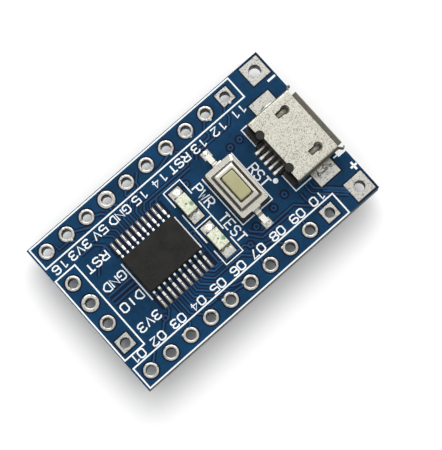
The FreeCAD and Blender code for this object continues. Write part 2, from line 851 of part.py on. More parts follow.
def button_dome():
    """The snap dome, a thin spherical cap that stands on its rim."""
    radius, rise = dim.dome_radius, dim.dome_rise
    ball = (radius * radius + rise * rise) / (rise * 2)
    centre = dim.cavity_floor + rise - ball
    balls = []
    for name, shrink in (("dome_outside", size(0)), ("dome_inside", dim.dome_thickness)):
        sphere = doc.addObject("Part::Sphere", name)
        drive(sphere, Radius=ball - shrink)
        balls.append(button_site.place(sphere, z=centre))
    cap = doc.addObject("Part::Common", "dome_cap")
    cap.Base = balls[0]
    cap.Tool = rod("dome_space", button_site, (0, 0), radius * 2, dim.cavity_floor,
                   dim.cavity_floor + rise * 2)
    return cut("reset_dome", cap, [balls[1]])


def reset_button():
    terminals = button_terminals()
    case = block("case_block", button_site, (0, 0), dim.case_width, dim.case_length, 0, dim.case_height)
    cavity = block("case_cavity", button_site, (0, 0), dim.cavity_width, dim.cavity_length,
                   dim.cavity_floor, dim.case_height)
    pads = [
        solder_pad(button_site, 0, (dim.button_pad_start + dim.button_pad_end) / 2 * side,
                   dim.button_pad_width, dim.button_pad_end - dim.button_pad_start)
        for side in (-1, 1)
    ]
    return {
        "reset_case": cut("reset_case", case, [cavity] + terminals),
        "reset_cover": button_cover(),
        "reset_plunger": button_plunger(),
        "reset_dome": button_dome(),
        "reset_terminals": joined("reset_terminals", terminals),
        "reset_pads": joined("reset_pads", pads),
    }


# ---------------------------------------------------------------- indicator lights

def indicator_light(name, site):
    """A chip light: a plated substrate, the die on it and the clear resin cast over the middle."""
    length, width, base_top = dim.light_length, dim.light_width, dim.light_base_height
    skin = dim.light_plating
    ends = []
    hollows = []
    for side in (-1, 1):
        end_middle = (length - dim.light_end) / 2 * side
        ends.append(block(name + "_end", site, (0, end_middle), width, dim.light_end, 0, base_top))
        hollows.append(rod(name + "_scallop", site, (0, length / 2 * side), dim.light_scallop, 0, base_top))
    board = block(name + "_board", site, (0, 0), width, length - skin * 2, skin, base_top - skin)
    lip = [
        rod(name + "_board_scallop", site, (0, length / 2 * side), dim.light_scallop + skin, 0, base_top)
        for side in (-1, 1)
    ]
    base = cut(name + "_base", board, lip)
    terminals = cut(name + "_terminals", joined(name + "_ends", ends), hollows + [base])

    lens = new_body(name + "_resin")
    footprint = new_sketch(lens, height=base_top - skin)
    rectangle(footprint, width, dim.light_lens_length)
    extrude(lens, footprint, dim.light_height - base_top + skin, draft=0.06)
    site.place(lens)
    die = block(name + "_die", site, (0, 0.15), 0.3, 0.3, base_top - skin, base_top + 0.09)
    pad_length = dim.light_pad_end - dim.light_pad_start
    pads = [
        solder_pad(site, 0, (dim.light_pad_start + pad_length / 2) * side, dim.light_pad_width, pad_length)
        for side in (-1, 1)
    ]
    return {
        name + "_base": base,
        name + "_terminals": terminals,
        name + "_lens": cut(name + "_lens", lens, [die]),
        name + "_die": die,
        name + "_pads": joined(name + "_pads", pads),
    }


# ---------------------------------------------------------------- regulator and chip parts

def regulator():
    """The 3.3 V regulator: three leads on one side, the wide cooling tab on the other."""
    edge, metal = dim.regulator_width / 2, dim.regulator_metal
    exit_level = (dim.regulator_bottom + dim.regulator_height) / 2 - metal / 2
    wing = gull_wing(edge - 0.8, exit_level, edge, dim.regulator_span / 2, dim.regulator_foot, metal)

    leads = new_body("regulator_legs")
    profile = new_sketch(leads, "XZ_Plane", dim.regulator_pitch)
    outline(profile, [(-x, z) for x, z in wing])
    extrude(leads, profile, dim.regulator_lead, both_ways=True)
    repeat(leads, "Y_Axis", dim.regulator_pitch, 3)
    regulator_site.place(leads)

    tab = new_body("regulator_tab")
    profile = new_sketch(tab, "XZ_Plane")
    outline(profile, wing)
    extrude(tab, profile, dim.regulator_tab, both_ways=True)
    regulator_site.place(tab)

    moulding = moulded_block("regulator_moulding", regulator_site, dim.regulator_width, dim.regulator_length,
                             dim.regulator_bottom, dim.regulator_height, dim.regulator_draft)
    pad_length = dim.regulator_foot + 0.5
    pad_x = dim.regulator_span / 2 - dim.regulator_foot / 2
    pads = [
        solder_pad(regulator_site, -pad_x, dim.regulator_pitch * index, pad_length, dim.regulator_lead + 0.3)
        for index in (-1, 0, 1)
    ]
    pads.append(solder_pad(regulator_site, pad_x, 0, pad_length, dim.regulator_tab + 0.3))
    return {
        "regulator_package": cut("regulator_package", moulding, [leads, tab]),
        "regulator_leads": leads,
        "regulator_tab": tab,
        "regulator_pads": joined("regulator_pads", pads),
    }


def chip_pads_for(site, length, width):
    reach = CHIP_END + 0.45
    middle = length / 2 - CHIP_END / 2 + 0.1
    return [solder_pad(site, middle * side, 0, reach, width + 0.15) for side in (-1, 1)]


def chip_part(name, site, length, width, height, film):
    """A chip capacitor, or with a film a chip resistor: a ceramic block with plated ends."""
    skin = CHIP_PLATING
    core = block(name + "_body", site, (0, 0), length - 2 * skin, width - 2 * skin, skin, height - skin)
    ends = [
        block(name + "_end", site, ((length - CHIP_END) / 2 * side, 0), CHIP_END, width, 0, height)
        for side in (-1, 1)
    ]
    nodes = {
        name + "_body": core,
        name + "_terminals": cut(name + "_terminals", joined(name + "_ends", ends), [core]),
    }
    if film:
        top = height - skin
        film_length = length - 2 * CHIP_END
        nodes[name + "_film"] = block(name + "_film", site, (0, 0), film_length, width - 4 * skin, top,
                                      top + FILM_THICKNESS)
    return nodes


def chip_parts():
    """Every chip capacitor and resistor under the board, and the pads that they share a node with."""
    nodes = {}
    pads = []
    for parts, film in ((CAPACITORS, False), (RESISTORS, True)):
        for name, x, y, length, width, height in parts:
            site = Site(x, y, UNDERSIDE)
            nodes.update(chip_part(name, site, length, width, height, film))
            pads += chip_pads_for(site, length, width)
    nodes["chip_part_pads"] = joined("chip_part_pads", pads)
    return nodes


# ---------------------------------------------------------------- assembly

def build():
    groups = hole_groups()
    nodes = {"printed_circuit_board": circuit_board(groups)}
    for name, holes in groups.items():
        nodes[name] = plated_holes(name, holes)
    nodes.update(controller())
    nodes.update(usb_socket())
    nodes.update(reset_button())
    nodes.update(indicator_light("power_light", Site(dim.power_light_x, dim.power_light_y)))
    nodes.update(indicator_light("test_light", Site(dim.test_light_x, dim.test_light_y)))
    nodes.update(regulator())
    nodes.update(chip_parts())
    nodes["top_solder_mask"] = solder_mask("top_solder_mask", TOP)
    nodes["bottom_solder_mask"] = solder_mask("bottom_solder_mask", UNDERSIDE)
    return nodes


def check(nodes):
    """Stop if any object failed to recompute or any sub-part has no valid shape."""
    failed = [item.Name for item in doc.Objects if {"Invalid", "Error"} & set(item.State)]
    for name, node in nodes.items():
        if node.Shape.isNull() or not node.Shape.isValid() or not node.Shape.Solids:
            failed.append(name)
    if failed:
        raise RuntimeError(f"failed: {failed}")


def export(nodes):
    os.makedirs("parts", exist_ok=True)
    for name, node in nodes.items():
        node.Label = name
        node.Shape.exportStep(f"parts/{name}.step")
        bounds = node.Shape.BoundBox
        print(f"{name:32} solids {len(node.Shape.Solids):3}  volume {node.Shape.Volume:9.4f}  "
              f"z {bounds.ZMin:6.3f} to {bounds.ZMax:6.3f}")


parts = build()
doc.recompute()
check(parts)
export(parts)
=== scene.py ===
# %% [markdown]
# # A small controller board, dressed in Blender
#
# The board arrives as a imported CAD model: bare shapes with the right sizes and the right joints.
# This lesson gives it its looks. It adds the parts that CAD leaves plain (rounded leads, bent
# sheet metal, solder, tracks under the lacquer, printed legend) and a finish for every surface.
# Everything is worked at the bench in millimetres, because Blender's merge and bevel tools lose
# their footing on parts of a tenth of a millimetre when one unit is a metre. A part is brought
# down to metres only when it is handed over.

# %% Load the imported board
import json
import math
from contextlib import contextmanager

import bmesh
import bpy
from mathutils import Matrix, Vector


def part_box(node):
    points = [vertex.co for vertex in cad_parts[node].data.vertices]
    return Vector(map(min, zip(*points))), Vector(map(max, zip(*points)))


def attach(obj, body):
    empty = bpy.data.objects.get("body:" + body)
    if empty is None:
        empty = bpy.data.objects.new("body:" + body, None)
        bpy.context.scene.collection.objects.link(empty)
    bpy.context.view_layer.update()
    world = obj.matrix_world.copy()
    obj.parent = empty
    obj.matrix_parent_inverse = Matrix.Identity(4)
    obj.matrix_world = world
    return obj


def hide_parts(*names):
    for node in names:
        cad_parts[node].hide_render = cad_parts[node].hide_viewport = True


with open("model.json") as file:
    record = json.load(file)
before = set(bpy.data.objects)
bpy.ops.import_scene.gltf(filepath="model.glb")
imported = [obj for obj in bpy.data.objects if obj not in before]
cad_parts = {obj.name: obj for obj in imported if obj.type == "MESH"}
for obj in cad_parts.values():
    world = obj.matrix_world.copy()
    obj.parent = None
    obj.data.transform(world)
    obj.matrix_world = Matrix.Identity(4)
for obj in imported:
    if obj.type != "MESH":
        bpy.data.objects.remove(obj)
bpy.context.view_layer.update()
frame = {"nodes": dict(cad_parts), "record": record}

MM = 0.001


# %% [markdown]
# ## Levels and places
#
# On the real board everything is stacked on a few flat levels: lacquer, pads, parts. Those levels
# and the middle of each part are read from the CAD model, so a new piece always lands on its pad.
# They could be typed in as numbers, but then a change in the CAD would leave the piece behind.

# %% Levels and places
def corners_of(node):
    """Lowest and highest corner of a CAD node, in millimetres."""
    low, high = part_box(node)
    return low / MM, high / MM


def middle_of(node):
    low, high = corners_of(node)
    return (low + high) / 2


board_low, board_high = corners_of("printed_circuit_board")
LACQUER_TOP = corners_of("top_solder_mask")[1].z
LACQUER_UNDER = corners_of("bottom_solder_mask")[0].z
SEAT = corners_of("chip_pads")[1].z
SEAT_UNDER = corners_of("regulator_pads")[0].z
TOP, UNDERSIDE = 1, -1
holes = [
    (mount["name"], Vector(mount["pos_m"]) / MM, mount["dims"]["r_mm"])
    for mount in frame["record"]["mounts"] if mount["kind"] == "bore"
]
print("lacquer", round(LACQUER_TOP, 3), "pads", round(SEAT, 3), "holes", len(holes))


# %% [markdown]
# ## The camera
#
# The board is looked at from almost straight above with a long lens, so its sides hardly show and
# parallel edges stay parallel. A camera can be aimed with a constraint or by hand; here its three
# directions are written into one matrix, which leaves nothing to settle later.

# %% Camera
def set_up_camera():
    lens = bpy.data.cameras.new("bench_camera")
    lens.lens = 160.0
    lens.sensor_width = 36.0
    lens.clip_start, lens.clip_end = 0.01, 5.0
    camera = bpy.data.objects.new("bench_camera", lens)
    bpy.context.scene.collection.objects.link(camera)
    stand = Vector((-15.634, -24.748, 193.631)) * MM
    right = Vector((0.74877, -0.66265, -0.0156)).normalized()
    back = Vector((-0.08604, -0.1205, 0.98898)).normalized()
    up = back.cross(right)
    camera.matrix_world = Matrix.Translation(stand) @ Matrix((right, up, back)).transposed().to_4x4()
    bpy.context.scene.camera = camera
    print("camera stands", round(stand.length / MM), "mm away")


set_up_camera()


# %% [markdown]
# ## Floor and light
#
# Small shiny parts look like what they reflect. A big white soft box overhead makes flat metal
# bright, and a darker horizon gives every slope and bend a dark edge, which is how tinned metal
# and pressed steel read as metal. The sky is a gradient by height; one soft lamp from the socket
# side gives the parts a gentle direction.

# %% Floor, sky and lamp
ZENITH = (1.0, 1.0, 1.0, 1.0)
HORIZON = (0.06, 0.065, 0.075, 1.0)


def lay_floor():
    bpy.ops.object.select_all(action="DESELECT")
    bpy.ops.mesh.primitive_plane_add(size=2.4, location=(0, 0, -0.02 * MM))
    floor = bpy.context.object
    floor.name = "floor"
    paper = bpy.data.materials.new("pale_paper")
    paper.use_nodes = True
    surface = paper.node_tree.nodes["Principled BSDF"]
    surface.inputs["Base Color"].default_value = (0.93, 0.93, 0.93, 1)
    surface.inputs["Roughness"].default_value = 0.9
    surface.inputs["Specular IOR Level"].default_value = 0.1
    floor.data.materials.append(paper)


def hang_sky():
    sky = bpy.data.worlds.new("soft_sky")
    sky.use_nodes = True
    bpy.context.scene.world = sky
    nodes, links = sky.node_tree.nodes, sky.node_tree.links
    direction = nodes.new("ShaderNodeTexCoord")
    height = nodes.new("ShaderNodeSeparateXYZ")
    gradient = nodes.new("ShaderNodeValToRGB")
    low, high = gradient.color_ramp.elements
    low.position, low.color = 0.25, HORIZON
    high.position, high.color = 0.72, ZENITH
    links.new(direction.outputs["Generated"], height.inputs[0])
    links.new(height.outputs["Z"], gradient.inputs[0])
    links.new(gradient.outputs[0], nodes["Background"].inputs["Color"])
    nodes["Background"].inputs["Strength"].default_value = 1.15


def hang_lamp(name, place, aim, size, power):
    lamp = bpy.data.lights.new(name, "AREA")
    lamp.size = size
    lamp.energy = power
    holder = bpy.data.objects.new(name, lamp)
    bpy.context.scene.collection.objects.link(holder)
    away = (Vector(place) - Vector(aim)).normalized()
    holder.matrix_world = Matrix.Translation(place) @ away.to_track_quat("Z", "Y").to_matrix().to_4x4()


lay_floor()
hang_sky()
hang_lamp("soft_box", (0.29, 0.37, 0.36), (0, 0, 0), 0.55, 2.9)
bpy.context.scene.view_settings.view_transform = "Standard"
print("floor, sky and lamp are up")


# %% [markdown]
# ## Mixing a finish
#
# A finish is a small chain of nodes. Written with Blender's own calls, one multiplication takes
# three lines, so two helpers keep the recipes readable. A `Flow` is a number running down a wire:
# adding or multiplying flows adds the Math nodes. A `Recipe` is one material being mixed; its
# `node` method adds any node from its type, its settings and its sockets. Patterns read Object
# coordinates, which are metres in the board's own frame, so a grain of a tenth of a millimetre is
# the same size on every part.

# %% Flow and Recipe
class Flow:
    """A number on its way between two nodes."""

    def __init__(self, recipe, socket):
        self.recipe, self.socket = recipe, socket

    def maths(self, operation, first, second):
        return self.recipe.node("Math", {"operation": operation}, {0: first, 1: second})

    def __add__(self, other):
        return self.maths("ADD", self, other)

    def __sub__(self, other):
        return self.maths("SUBTRACT", self, other)

    def __rsub__(self, other):
        return self.maths("SUBTRACT", other, self)

    def __mul__(self, other):
        return self.maths("MULTIPLY", self, other)

    __radd__ = __add__
    __rmul__ = __mul__


class Recipe:
    """One material being mixed round its Principled shader."""

    def __init__(self, name, **steady):
        self.material = bpy.data.materials.new(name)
        self.material.use_nodes = True
        self.tree = self.material.node_tree
        self.shader = self.tree.nodes["Principled BSDF"]
        for socket, value in steady.items():
            self.shader.inputs[socket.replace("_", " ")].default_value = value
        self.place = self.node("TexCoord", output="Object")

    def node(self, kind, settings=None, sockets=None, output=0):
        made = self.tree.nodes.new("ShaderNode" + kind)
        for setting, value in (settings or {}).items():
            if setting == "stops":
                self.set_stops(made.color_ramp, value)
            else:
                setattr(made, setting, value)
        for socket, value in (sockets or {}).items():
            if isinstance(value, Flow):
                self.tree.links.new(value.socket, made.inputs[socket])
            else:
                made.inputs[socket].default_value = value
        return Flow(self, made.outputs[output])

    @staticmethod
    def set_stops(ramp, stops):
        while len(ramp.elements) < len(stops):
            ramp.elements.new(0.5)
        for element, (position, colour) in zip(ramp.elements, stops):
            element.position, element.color = position, colour

    def feed(self, **sockets):
        """Send flows to the shader's own sockets."""
        for socket, flow in sockets.items():
            self.tree.links.new(flow.socket, self.shader.inputs[socket.replace("_", " ")])

    def grain(self, size, detail=2.0, harshness=0.5):
        """Cloudy noise whose lumps are about size millimetres across."""
        sockets = {"Vector": self.place, "Scale": 1 / (size * MM), "Detail": detail, "Roughness": harshness}
        return self.node("TexNoise", {}, sockets)

    def between(self, flow, low, high):
        """The flow stretched so that low becomes 0 and high becomes 1, and clipped there."""
        return self.node("MapRange", {"clamp": True}, {0: flow, 1: low, 2: high})

    def tint(self, share, first, second):
        """A colour from the first to the second by the share."""
        return self.node("Mix", {"data_type": "RGBA"}, {0: share, 6: first, 7: second}, output=2)

    def relief(self, height, depth, strength=1.0):
        """Turn a flow of heights from 0 to 1 into a surface that is depth millimetres deep."""
        sockets = {"Height": height, "Distance": depth * MM, "Strength": strength}
        return self.node("Bump", {}, sockets)


def tone(red, green, blue):
    """A colour given as 0 to 255 on a screen, as the linear colour that a shader wants."""
    linear = [
        channel / 12.92 if channel <= 0.04045 else ((channel + 0.055) / 1.055) ** 2.4
        for channel in (red / 255, green / 255, blue / 255)
    ]
    return (*linear, 1.0)


# %% [markdown]
# ## Lacquer and board
#
# The blue is a lacquer printed over copper. It lies level over the copper plane and thins at
# every edge, so its colour drifts slowly across the board, and a fine orange peel breaks the
# gloss. Copper under it makes it lighter and bare glass under it makes it darker, so three
# lacquers share one recipe. The cut edge of the board shows the glass cloth in layers, which is a
# stack of thin bands by height.

# %% Lacquer and board finishes
def lacquer(name, dark, light, gloss):
    recipe = Recipe(name, IOR=1.5, Specular_IOR_Level=0.10)
    drift = recipe.grain(2.6, detail=4.0, harshness=0.6)
    peel = recipe.grain(0.16, detail=3.0)
    speck = recipe.grain(0.35, detail=5.0, harshness=0.7)
    share = recipe.between(drift * 0.6 + speck * 0.4, 0.36, 0.64)
    recipe.feed(
        Base_Color=recipe.tint(share, dark, light),
        Roughness=gloss + peel * 0.22,
        Normal=recipe.relief(peel * 0.6 + speck * 0.4, 0.012, 0.5),
    )
    return recipe.material


def glass_cloth_board():
    recipe = Recipe("glass_cloth_board", IOR=1.5, Specular_IOR_Level=0.2)
    height = recipe.node("SeparateXYZ", {}, {0: recipe.place}, output="Z")
    stacked = height * (1 / (0.19 * MM)) + recipe.grain(1.5) * 0.5
    layers = recipe.node("Math", {"operation": "FRACT"}, {0: stacked})
    fibres = recipe.grain(0.09, detail=4.0)
    share = recipe.between(layers * 0.5 + fibres * 0.7, 0.3, 0.85)
    recipe.feed(
        Base_Color=recipe.tint(share, tone(44, 42, 30), tone(104, 98, 70)),
        Roughness=0.62 + fibres * 0.25,
        Normal=recipe.relief(layers * 0.5 + fibres * 0.5, 0.02, 0.6),
    )
    return recipe.material


LACQUER_BLUE = lacquer("lacquer_over_plane", tone(0, 40, 67), tone(3, 57, 94), 0.34)
LACQUER_TRACK = lacquer("lacquer_over_track", tone(14, 52, 86), tone(28, 74, 112), 0.28)
LACQUER_DARK = lacquer("lacquer_over_glass", tone(4, 12, 30), tone(6, 22, 50), 0.36)
GLASS_CLOTH = glass_cloth_board()
print("lacquers and board mixed")


# %% [markdown]
# ## Metals
#
# Each metal here is a mirror with its own kind of damage. Hot-dipped tin freezes in soft dimples;
# drawn steel keeps a fine grain from the rollers with dark pin specks; a polished cover is
# smoother and only faintly clouded. One recipe covers them all: a base colour that dulls in
# specks, a roughness that wanders, and a bump at the size of the grain.
# Some of them also carry a band of painted shade between two heights, where walls, bends and slopes fall into
# shade.

# %% Metal finishes
def metal(name, bright, dull, rough, grain, depth, specks, shaded_band=None):
    """specks is the share, from 0 to 1, that small dull spots may take; the last argument is a pair of
    heights in millimetres, and painted shade darkens the metal all over between them."""
    recipe = Recipe(name, Metallic=1.0)
    fine = recipe.grain(grain, detail=3.0, harshness=0.6)
    cloud = recipe.grain(grain * 9, detail=2.0)
    spots = recipe.between(recipe.grain(grain * 0.9, detail=1.0, harshness=0.4), 0.62 - specks * 0.2, 0.75)
    if shaded_band:
        height = recipe.node("SeparateXYZ", {}, {0: recipe.place}, output="Z")
        fade = 0.02
        below, above = (recipe.between(height, (level - fade) * MM, (level + fade) * MM) for level in shaded_band)
        # Painted shade: between the two heights the colour is darkened and the surface roughened, like the
        # dull spots.
        spots = spots + (below - above)
    recipe.feed(
        Base_Color=recipe.tint(spots * 0.75 + cloud * 0.2, bright, dull),
        Roughness=rough - 0.08 + cloud * 0.16 + spots * 0.2,
        Normal=recipe.relief(fine, depth, 0.7),
    )
    return recipe.material


# Heights of painted shade: down the barrels of the plated holes, on the socket shell's sides and bends, and
# on the sloping rim of the button cover.
HOLE_SHADE_BAND, SHELL_SHADE_BAND, COVER_SHADE_BAND = (1.86, 3.36), (4.10, 5.83), (5.25, 5.43)
TIN = metal("dipped_tin", tone(190, 189, 183), tone(104, 103, 99), 0.32, 0.17, 0.022, 0.5)
HOLE_TIN = metal("plated_hole", tone(190, 189, 183), tone(88, 87, 84), 0.32, 0.17, 0.022, 0.5,
                 shaded_band=HOLE_SHADE_BAND)
# A darker tin, given to the controller's pads and the socket's signal pads.
DULL_TIN = metal("unwetted_tin", tone(128, 127, 122), tone(72, 71, 68), 0.45, 0.12, 0.012, 0.5)
SOLDER = metal("solder", tone(204, 204, 198), tone(104, 104, 100), 0.36, 0.18, 0.016, 0.35)
LEAD_TIN = metal("tinned_lead", tone(226, 226, 221), tone(130, 130, 126), 0.26, 0.10, 0.008, 0.1)
SHELL_STEEL = metal("socket_shell", tone(200, 198, 187), tone(92, 88, 72), 0.40, 0.10, 0.010, 0.75,
                    shaded_band=SHELL_SHADE_BAND)
# A darker steel for the flared lips and the latches: painted shade, for the dark surroundings that the lips
# reflect and the shade under the roof where the latches sit.
SHADED_STEEL = metal("socket_lips", tone(132, 129, 118), tone(74, 70, 60), 0.50, 0.10, 0.008, 0.5)
COVER_STEEL = metal("button_cover", tone(196, 193, 184), tone(84, 78, 66), 0.26, 0.09, 0.004, 0.1,
                    shaded_band=COVER_SHADE_BAND)
BRONZE = metal("spring_bronze", tone(222, 180, 122), tone(150, 112, 70), 0.30, 0.08, 0.006, 0.1)
CONTACT = metal("plated_contact", tone(232, 230, 222), tone(150, 140, 120), 0.28, 0.07, 0.006, 0.1)
print("metals mixed")


# %% [markdown]
# ## Mouldings, ceramics, resin and ink
#
# Mouldings take a fine texture from the tool that shaped them, ceramics are matt with a glassy
# grain, and printed ink is slightly porous. All of them are one tone over another with a grain,
# and differ in size, depth and shine. The two lights have a clear resin with a milky core: it
# lets light through, and a green tint gathers at one side where the die sits.

# %% Moulding, ceramic, resin and ink finishes
def moulding(name, dark, light, rough, grain, depth, **steady):
    recipe = Recipe(name, IOR=1.5, **steady)
    fine = recipe.grain(grain, detail=3.0, harshness=0.65)
    cloud = recipe.grain(grain * 12, detail=3.0)
    share = recipe.between(fine * 0.65 + cloud * 0.35, 0.36, 0.64)
    recipe.feed(
        Base_Color=recipe.tint(share, dark, light),
        Roughness=rough - 0.06 + fine * 0.12,
        Normal=recipe.relief(fine, depth, 0.6),
    )
    return recipe.material


def light_resin(name, node):
    """Milky clear resin, greener towards one corner of the light."""
    recipe = Recipe(name, IOR=1.52, Transmission_Weight=0.15, Coat_Weight=0.3, Coat_Roughness=0.12)
    low, high = corners_of(node)
    middle = Vector(((low.x + high.x) / 2, (low.y + high.y) / 2, high.z))

    def near(spot, inner, outer):
        away = {0: recipe.place, 1: spot * MM}
        distance = recipe.node("VectorMath", {"operation": "DISTANCE"}, away, output="Value")
        return 1 - recipe.between(distance, inner * MM, outer * MM)

    green = near(middle + Vector((0.42, -0.30, 0)), 0.12, 0.30)
    wire = near(middle, 0.06, 0.12)
    milk = recipe.grain(0.18, detail=4.0)
    pale = recipe.tint(recipe.between(milk, 0.38, 0.62), tone(196, 202, 170), tone(232, 234, 214))
    tinted = recipe.tint(green * 0.85, pale, tone(56, 140, 92))
    recipe.feed(
        Base_Color=recipe.tint(wire * 0.9, tinted, tone(30, 34, 24)),
        Roughness=0.18 + milk * 0.2,
        Normal=recipe.relief(milk, 0.01, 0.4),
    )
    return recipe.material


BLACK_PACKAGE = moulding("black_package", tone(19, 19, 18), tone(38, 37, 35), 0.62, 0.10, 0.008,
                         Specular_IOR_Level=0.16)
BLACK_NYLON = moulding("black_nylon", tone(18, 17, 15), tone(40, 37, 31), 0.50, 0.09, 0.008,
                       Specular_IOR_Level=0.25)
CREAM = moulding("cream_keycap", tone(156, 149, 106), tone(170, 163, 122), 0.42, 0.11, 0.006,
                 Subsurface_Weight=0.1)
SILICON = moulding("silicon", tone(70, 72, 84), tone(104, 108, 124), 0.22, 0.12, 0.001)
WHITE_CORE = moulding("light_base", tone(206, 204, 184), tone(232, 230, 214), 0.55, 0.06, 0.006)
TAN_CERAMIC = moulding("tan_ceramic", tone(146, 112, 76), tone(176, 142, 102), 0.5, 0.08, 0.005)
WHITE_CERAMIC = moulding("white_ceramic", tone(214, 214, 208), tone(238, 238, 234), 0.5, 0.06, 0.004)
BLACK_FILM = moulding("black_film", tone(20, 20, 22), tone(36, 36, 40), 0.35, 0.1, 0.004)
WHITE_INK = moulding("white_ink", tone(214, 222, 226), tone(244, 246, 246), 0.6, 0.08, 0.006)
POWER_RESIN = light_resin("power_light_resin", "power_light_lens")
TEST_RESIN = light_resin("test_light_resin", "test_light_lens")
print("mouldings, ceramics, resin and ink mixed")


# %% [markdown]
# ## Bench tools
#
# Shaping by hand in Blender is always the same rhythm: take one part, go into edit mode, choose
# faces or edges, push them about, come out. These helpers are that rhythm. Choosing is done in
# code, by where a face lies and which way it looks, because there is no mouse.

# %% Take, choose, finish
def take(piece):
    """Only this piece is selected and active."""
    bpy.ops.object.select_all(action="DESELECT")
    piece.select_set(True)
    bpy.context.view_layer.objects.active = piece


def just_added(name):
    """Name the primitive that was just added and move its place into its mesh."""
    piece = bpy.context.object
    piece.name = name
    bpy.ops.object.transform_apply(location=True, rotation=True, scale=True)
    return piece


@contextmanager
def at_work_on(piece):
    """Edit mode on one piece with nothing chosen."""
    take(piece)
    bpy.ops.object.mode_set(mode="EDIT")
    bpy.ops.mesh.select_all(action="DESELECT")
    yield
    bpy.ops.object.mode_set(mode="OBJECT")


def choose(piece, kind, wanted):
    """In edit mode, choose the verts, edges or faces whose middle and normal are wanted."""
    bpy.ops.mesh.select_mode(type={"verts": "VERT", "edges": "EDGE", "faces": "FACE"}[kind])
    bpy.ops.mesh.select_all(action="DESELECT")
    shape = bmesh.from_edit_mesh(piece.data)
    for item in getattr(shape, kind):
        corners = [item.co] if kind == "verts" else [vert.co for vert in item.verts]
        spot = sum(corners, Vector()) / len(corners)
        facing = item.normal if kind != "edges" else (corners[1] - corners[0]).normalized()
        item.select_set(bool(wanted(spot, facing)))
    bmesh.update_edit_mesh(piece.data)


def pull(x=0.0, y=0.0, z=0.0):
    """Extrude what is chosen by a step."""
    bpy.ops.mesh.extrude_region_move(TRANSFORM_OT_translate={"value": (x, y, z)})


def spread(x, y, about):
    """Widen or narrow what is chosen about a point."""
    bpy.ops.transform.resize(value=(x, y, 1), center_override=about)


def machine(piece, kind, **settings):
    """Run one modifier over the piece and apply it."""
    take(piece)
    modifier = piece.modifiers.new(kind.lower(), kind)
    for setting, value in settings.items():
        setattr(modifier, setting, value)
    bpy.ops.object.modifier_apply(modifier=modifier.name)


def ease_edges(piece, width, segments=2, angle=40):
    """Round off every edge that is sharper than the angle."""
    machine(piece, "BEVEL", width=width, segments=segments, limit_method="ANGLE",
            angle_limit=math.radians(angle), harden_normals=False)


def tidy(piece):
    """Merge doubled points and turn every face outwards."""
    with at_work_on(piece):
        bpy.ops.mesh.select_all(action="SELECT")
        bpy.ops.mesh.remove_doubles(threshold=0.0005)
        bpy.ops.mesh.normals_make_consistent(inside=False)


def put(piece, place=(0, 0, 0), turn=0.0, roll=0.0):
    """Roll the piece about X, turn it about Z, and set it in its place."""
    take(piece)
    about_x = Matrix.Rotation(math.radians(roll), 4, "X")
    about_z = Matrix.Rotation(math.radians(turn), 4, "Z")
    piece.matrix_world = Matrix.Translation(place) @ about_z @ about_x
    bpy.ops.object.transform_apply(location=True, rotation=True, scale=True)
    return piece


def another(piece, place=(0, 0, 0), turn=0.0, roll=0.0):
    """A copy of the piece with its own mesh, in another place."""
    copy = piece.copy()
    copy.data = piece.data.copy()
    bpy.context.scene.collection.objects.link(copy)
    return put(copy, place, turn, roll)


def gather(name, pieces):
    """Join pieces into one."""
    take(pieces[0])
    for piece in pieces:
        piece.select_set(True)
    if len(pieces) > 1:
        bpy.ops.object.join()
    pieces[0].name = name
    return pieces[0]


def scrap(*pieces):
    for piece in pieces:
        bpy.data.objects.remove(piece)


def hand_over(piece, finish, slot, *stands_for, body="board", smooth=35):
    """Bring a finished piece down to metres, give it its finish and set it on its body."""
    take(piece)
    piece.scale = (MM, MM, MM)
    bpy.ops.object.transform_apply(location=True, rotation=True, scale=True)
    bpy.ops.object.shade_smooth_by_angle(angle=math.radians(smooth))
    machine(piece, "WEIGHTED_NORMAL", keep_sharp=True)
    piece.data.materials.clear()
    piece.data.materials.append(finish)
    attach(piece, body)
    if stands_for:
        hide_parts(*stands_for)
    print(f"{piece.name}: {len(piece.data.polygons)} faces")
    return piece


# %% [markdown]
# ## Four ways to start a part
#
# Nearly every part on a board is one of four things: a block, a strip of metal bent along a
# line, a round turned on a lathe, or a mound of solder. A block starts from a cube. A strip
# starts from one edge of a plane, extruded along each straight and spun round each bend, then
# given its thickness, just as the press does it. A turned part starts from a circle whose loop is
# extruded and resized step by step along the profile. A mound starts from the pad's outline and
# narrows as it rises, and a subdivision surface rounds it.

# %% Block, strip, turned part, mound
def block(name, low, high):
    low, high = Vector(low), Vector(high)
    bpy.ops.object.select_all(action="DESELECT")
    bpy.ops.mesh.primitive_cube_add(size=1, location=(low + high) / 2)
    bpy.context.object.scale = high - low
    return just_added(name)


def bent_strip(name, width, thickness, path, bend, side=0.0, steps=4):
    """A strip along X and Z through the corners of path, each corner bent to the radius."""
    start, *rest = [Vector((x, 0, z)) for x, z in path]
    bpy.ops.object.select_all(action="DESELECT")
    bpy.ops.mesh.primitive_plane_add(size=width, location=start + Vector((width / 2, 0, 0)))
    strip = just_added(name)
    with at_work_on(strip):
        choose(strip, "verts", lambda spot, _: spot.x > start.x + width / 2)
        bpy.ops.mesh.delete(type="VERT")
        bpy.ops.mesh.select_mode(type="EDGE")
        bpy.ops.mesh.select_all(action="SELECT")
        here = start
        for corner, following in zip(rest, rest[1:] + [None]):
            heading = (corner - here).normalized()
            if following is None:
                pull(*(corner - here))
                break
            leaving = (following - corner).normalized()
            turn = heading.angle(leaving)
            upward = 1 if heading.cross(leaving).y < 0 else -1
            setback = bend * math.tan(turn / 2)
            stop = corner - heading * setback
            pull(*(stop - here))
            across = Vector((-heading.z, 0, heading.x)) * upward
            bpy.ops.mesh.spin(steps=steps, angle=turn, center=stop + across * bend, axis=(0, upward, 0))
            here = corner + leaving * setback
    tidy(strip)
    machine(strip, "SOLIDIFY", thickness=thickness, offset=side)
    return strip


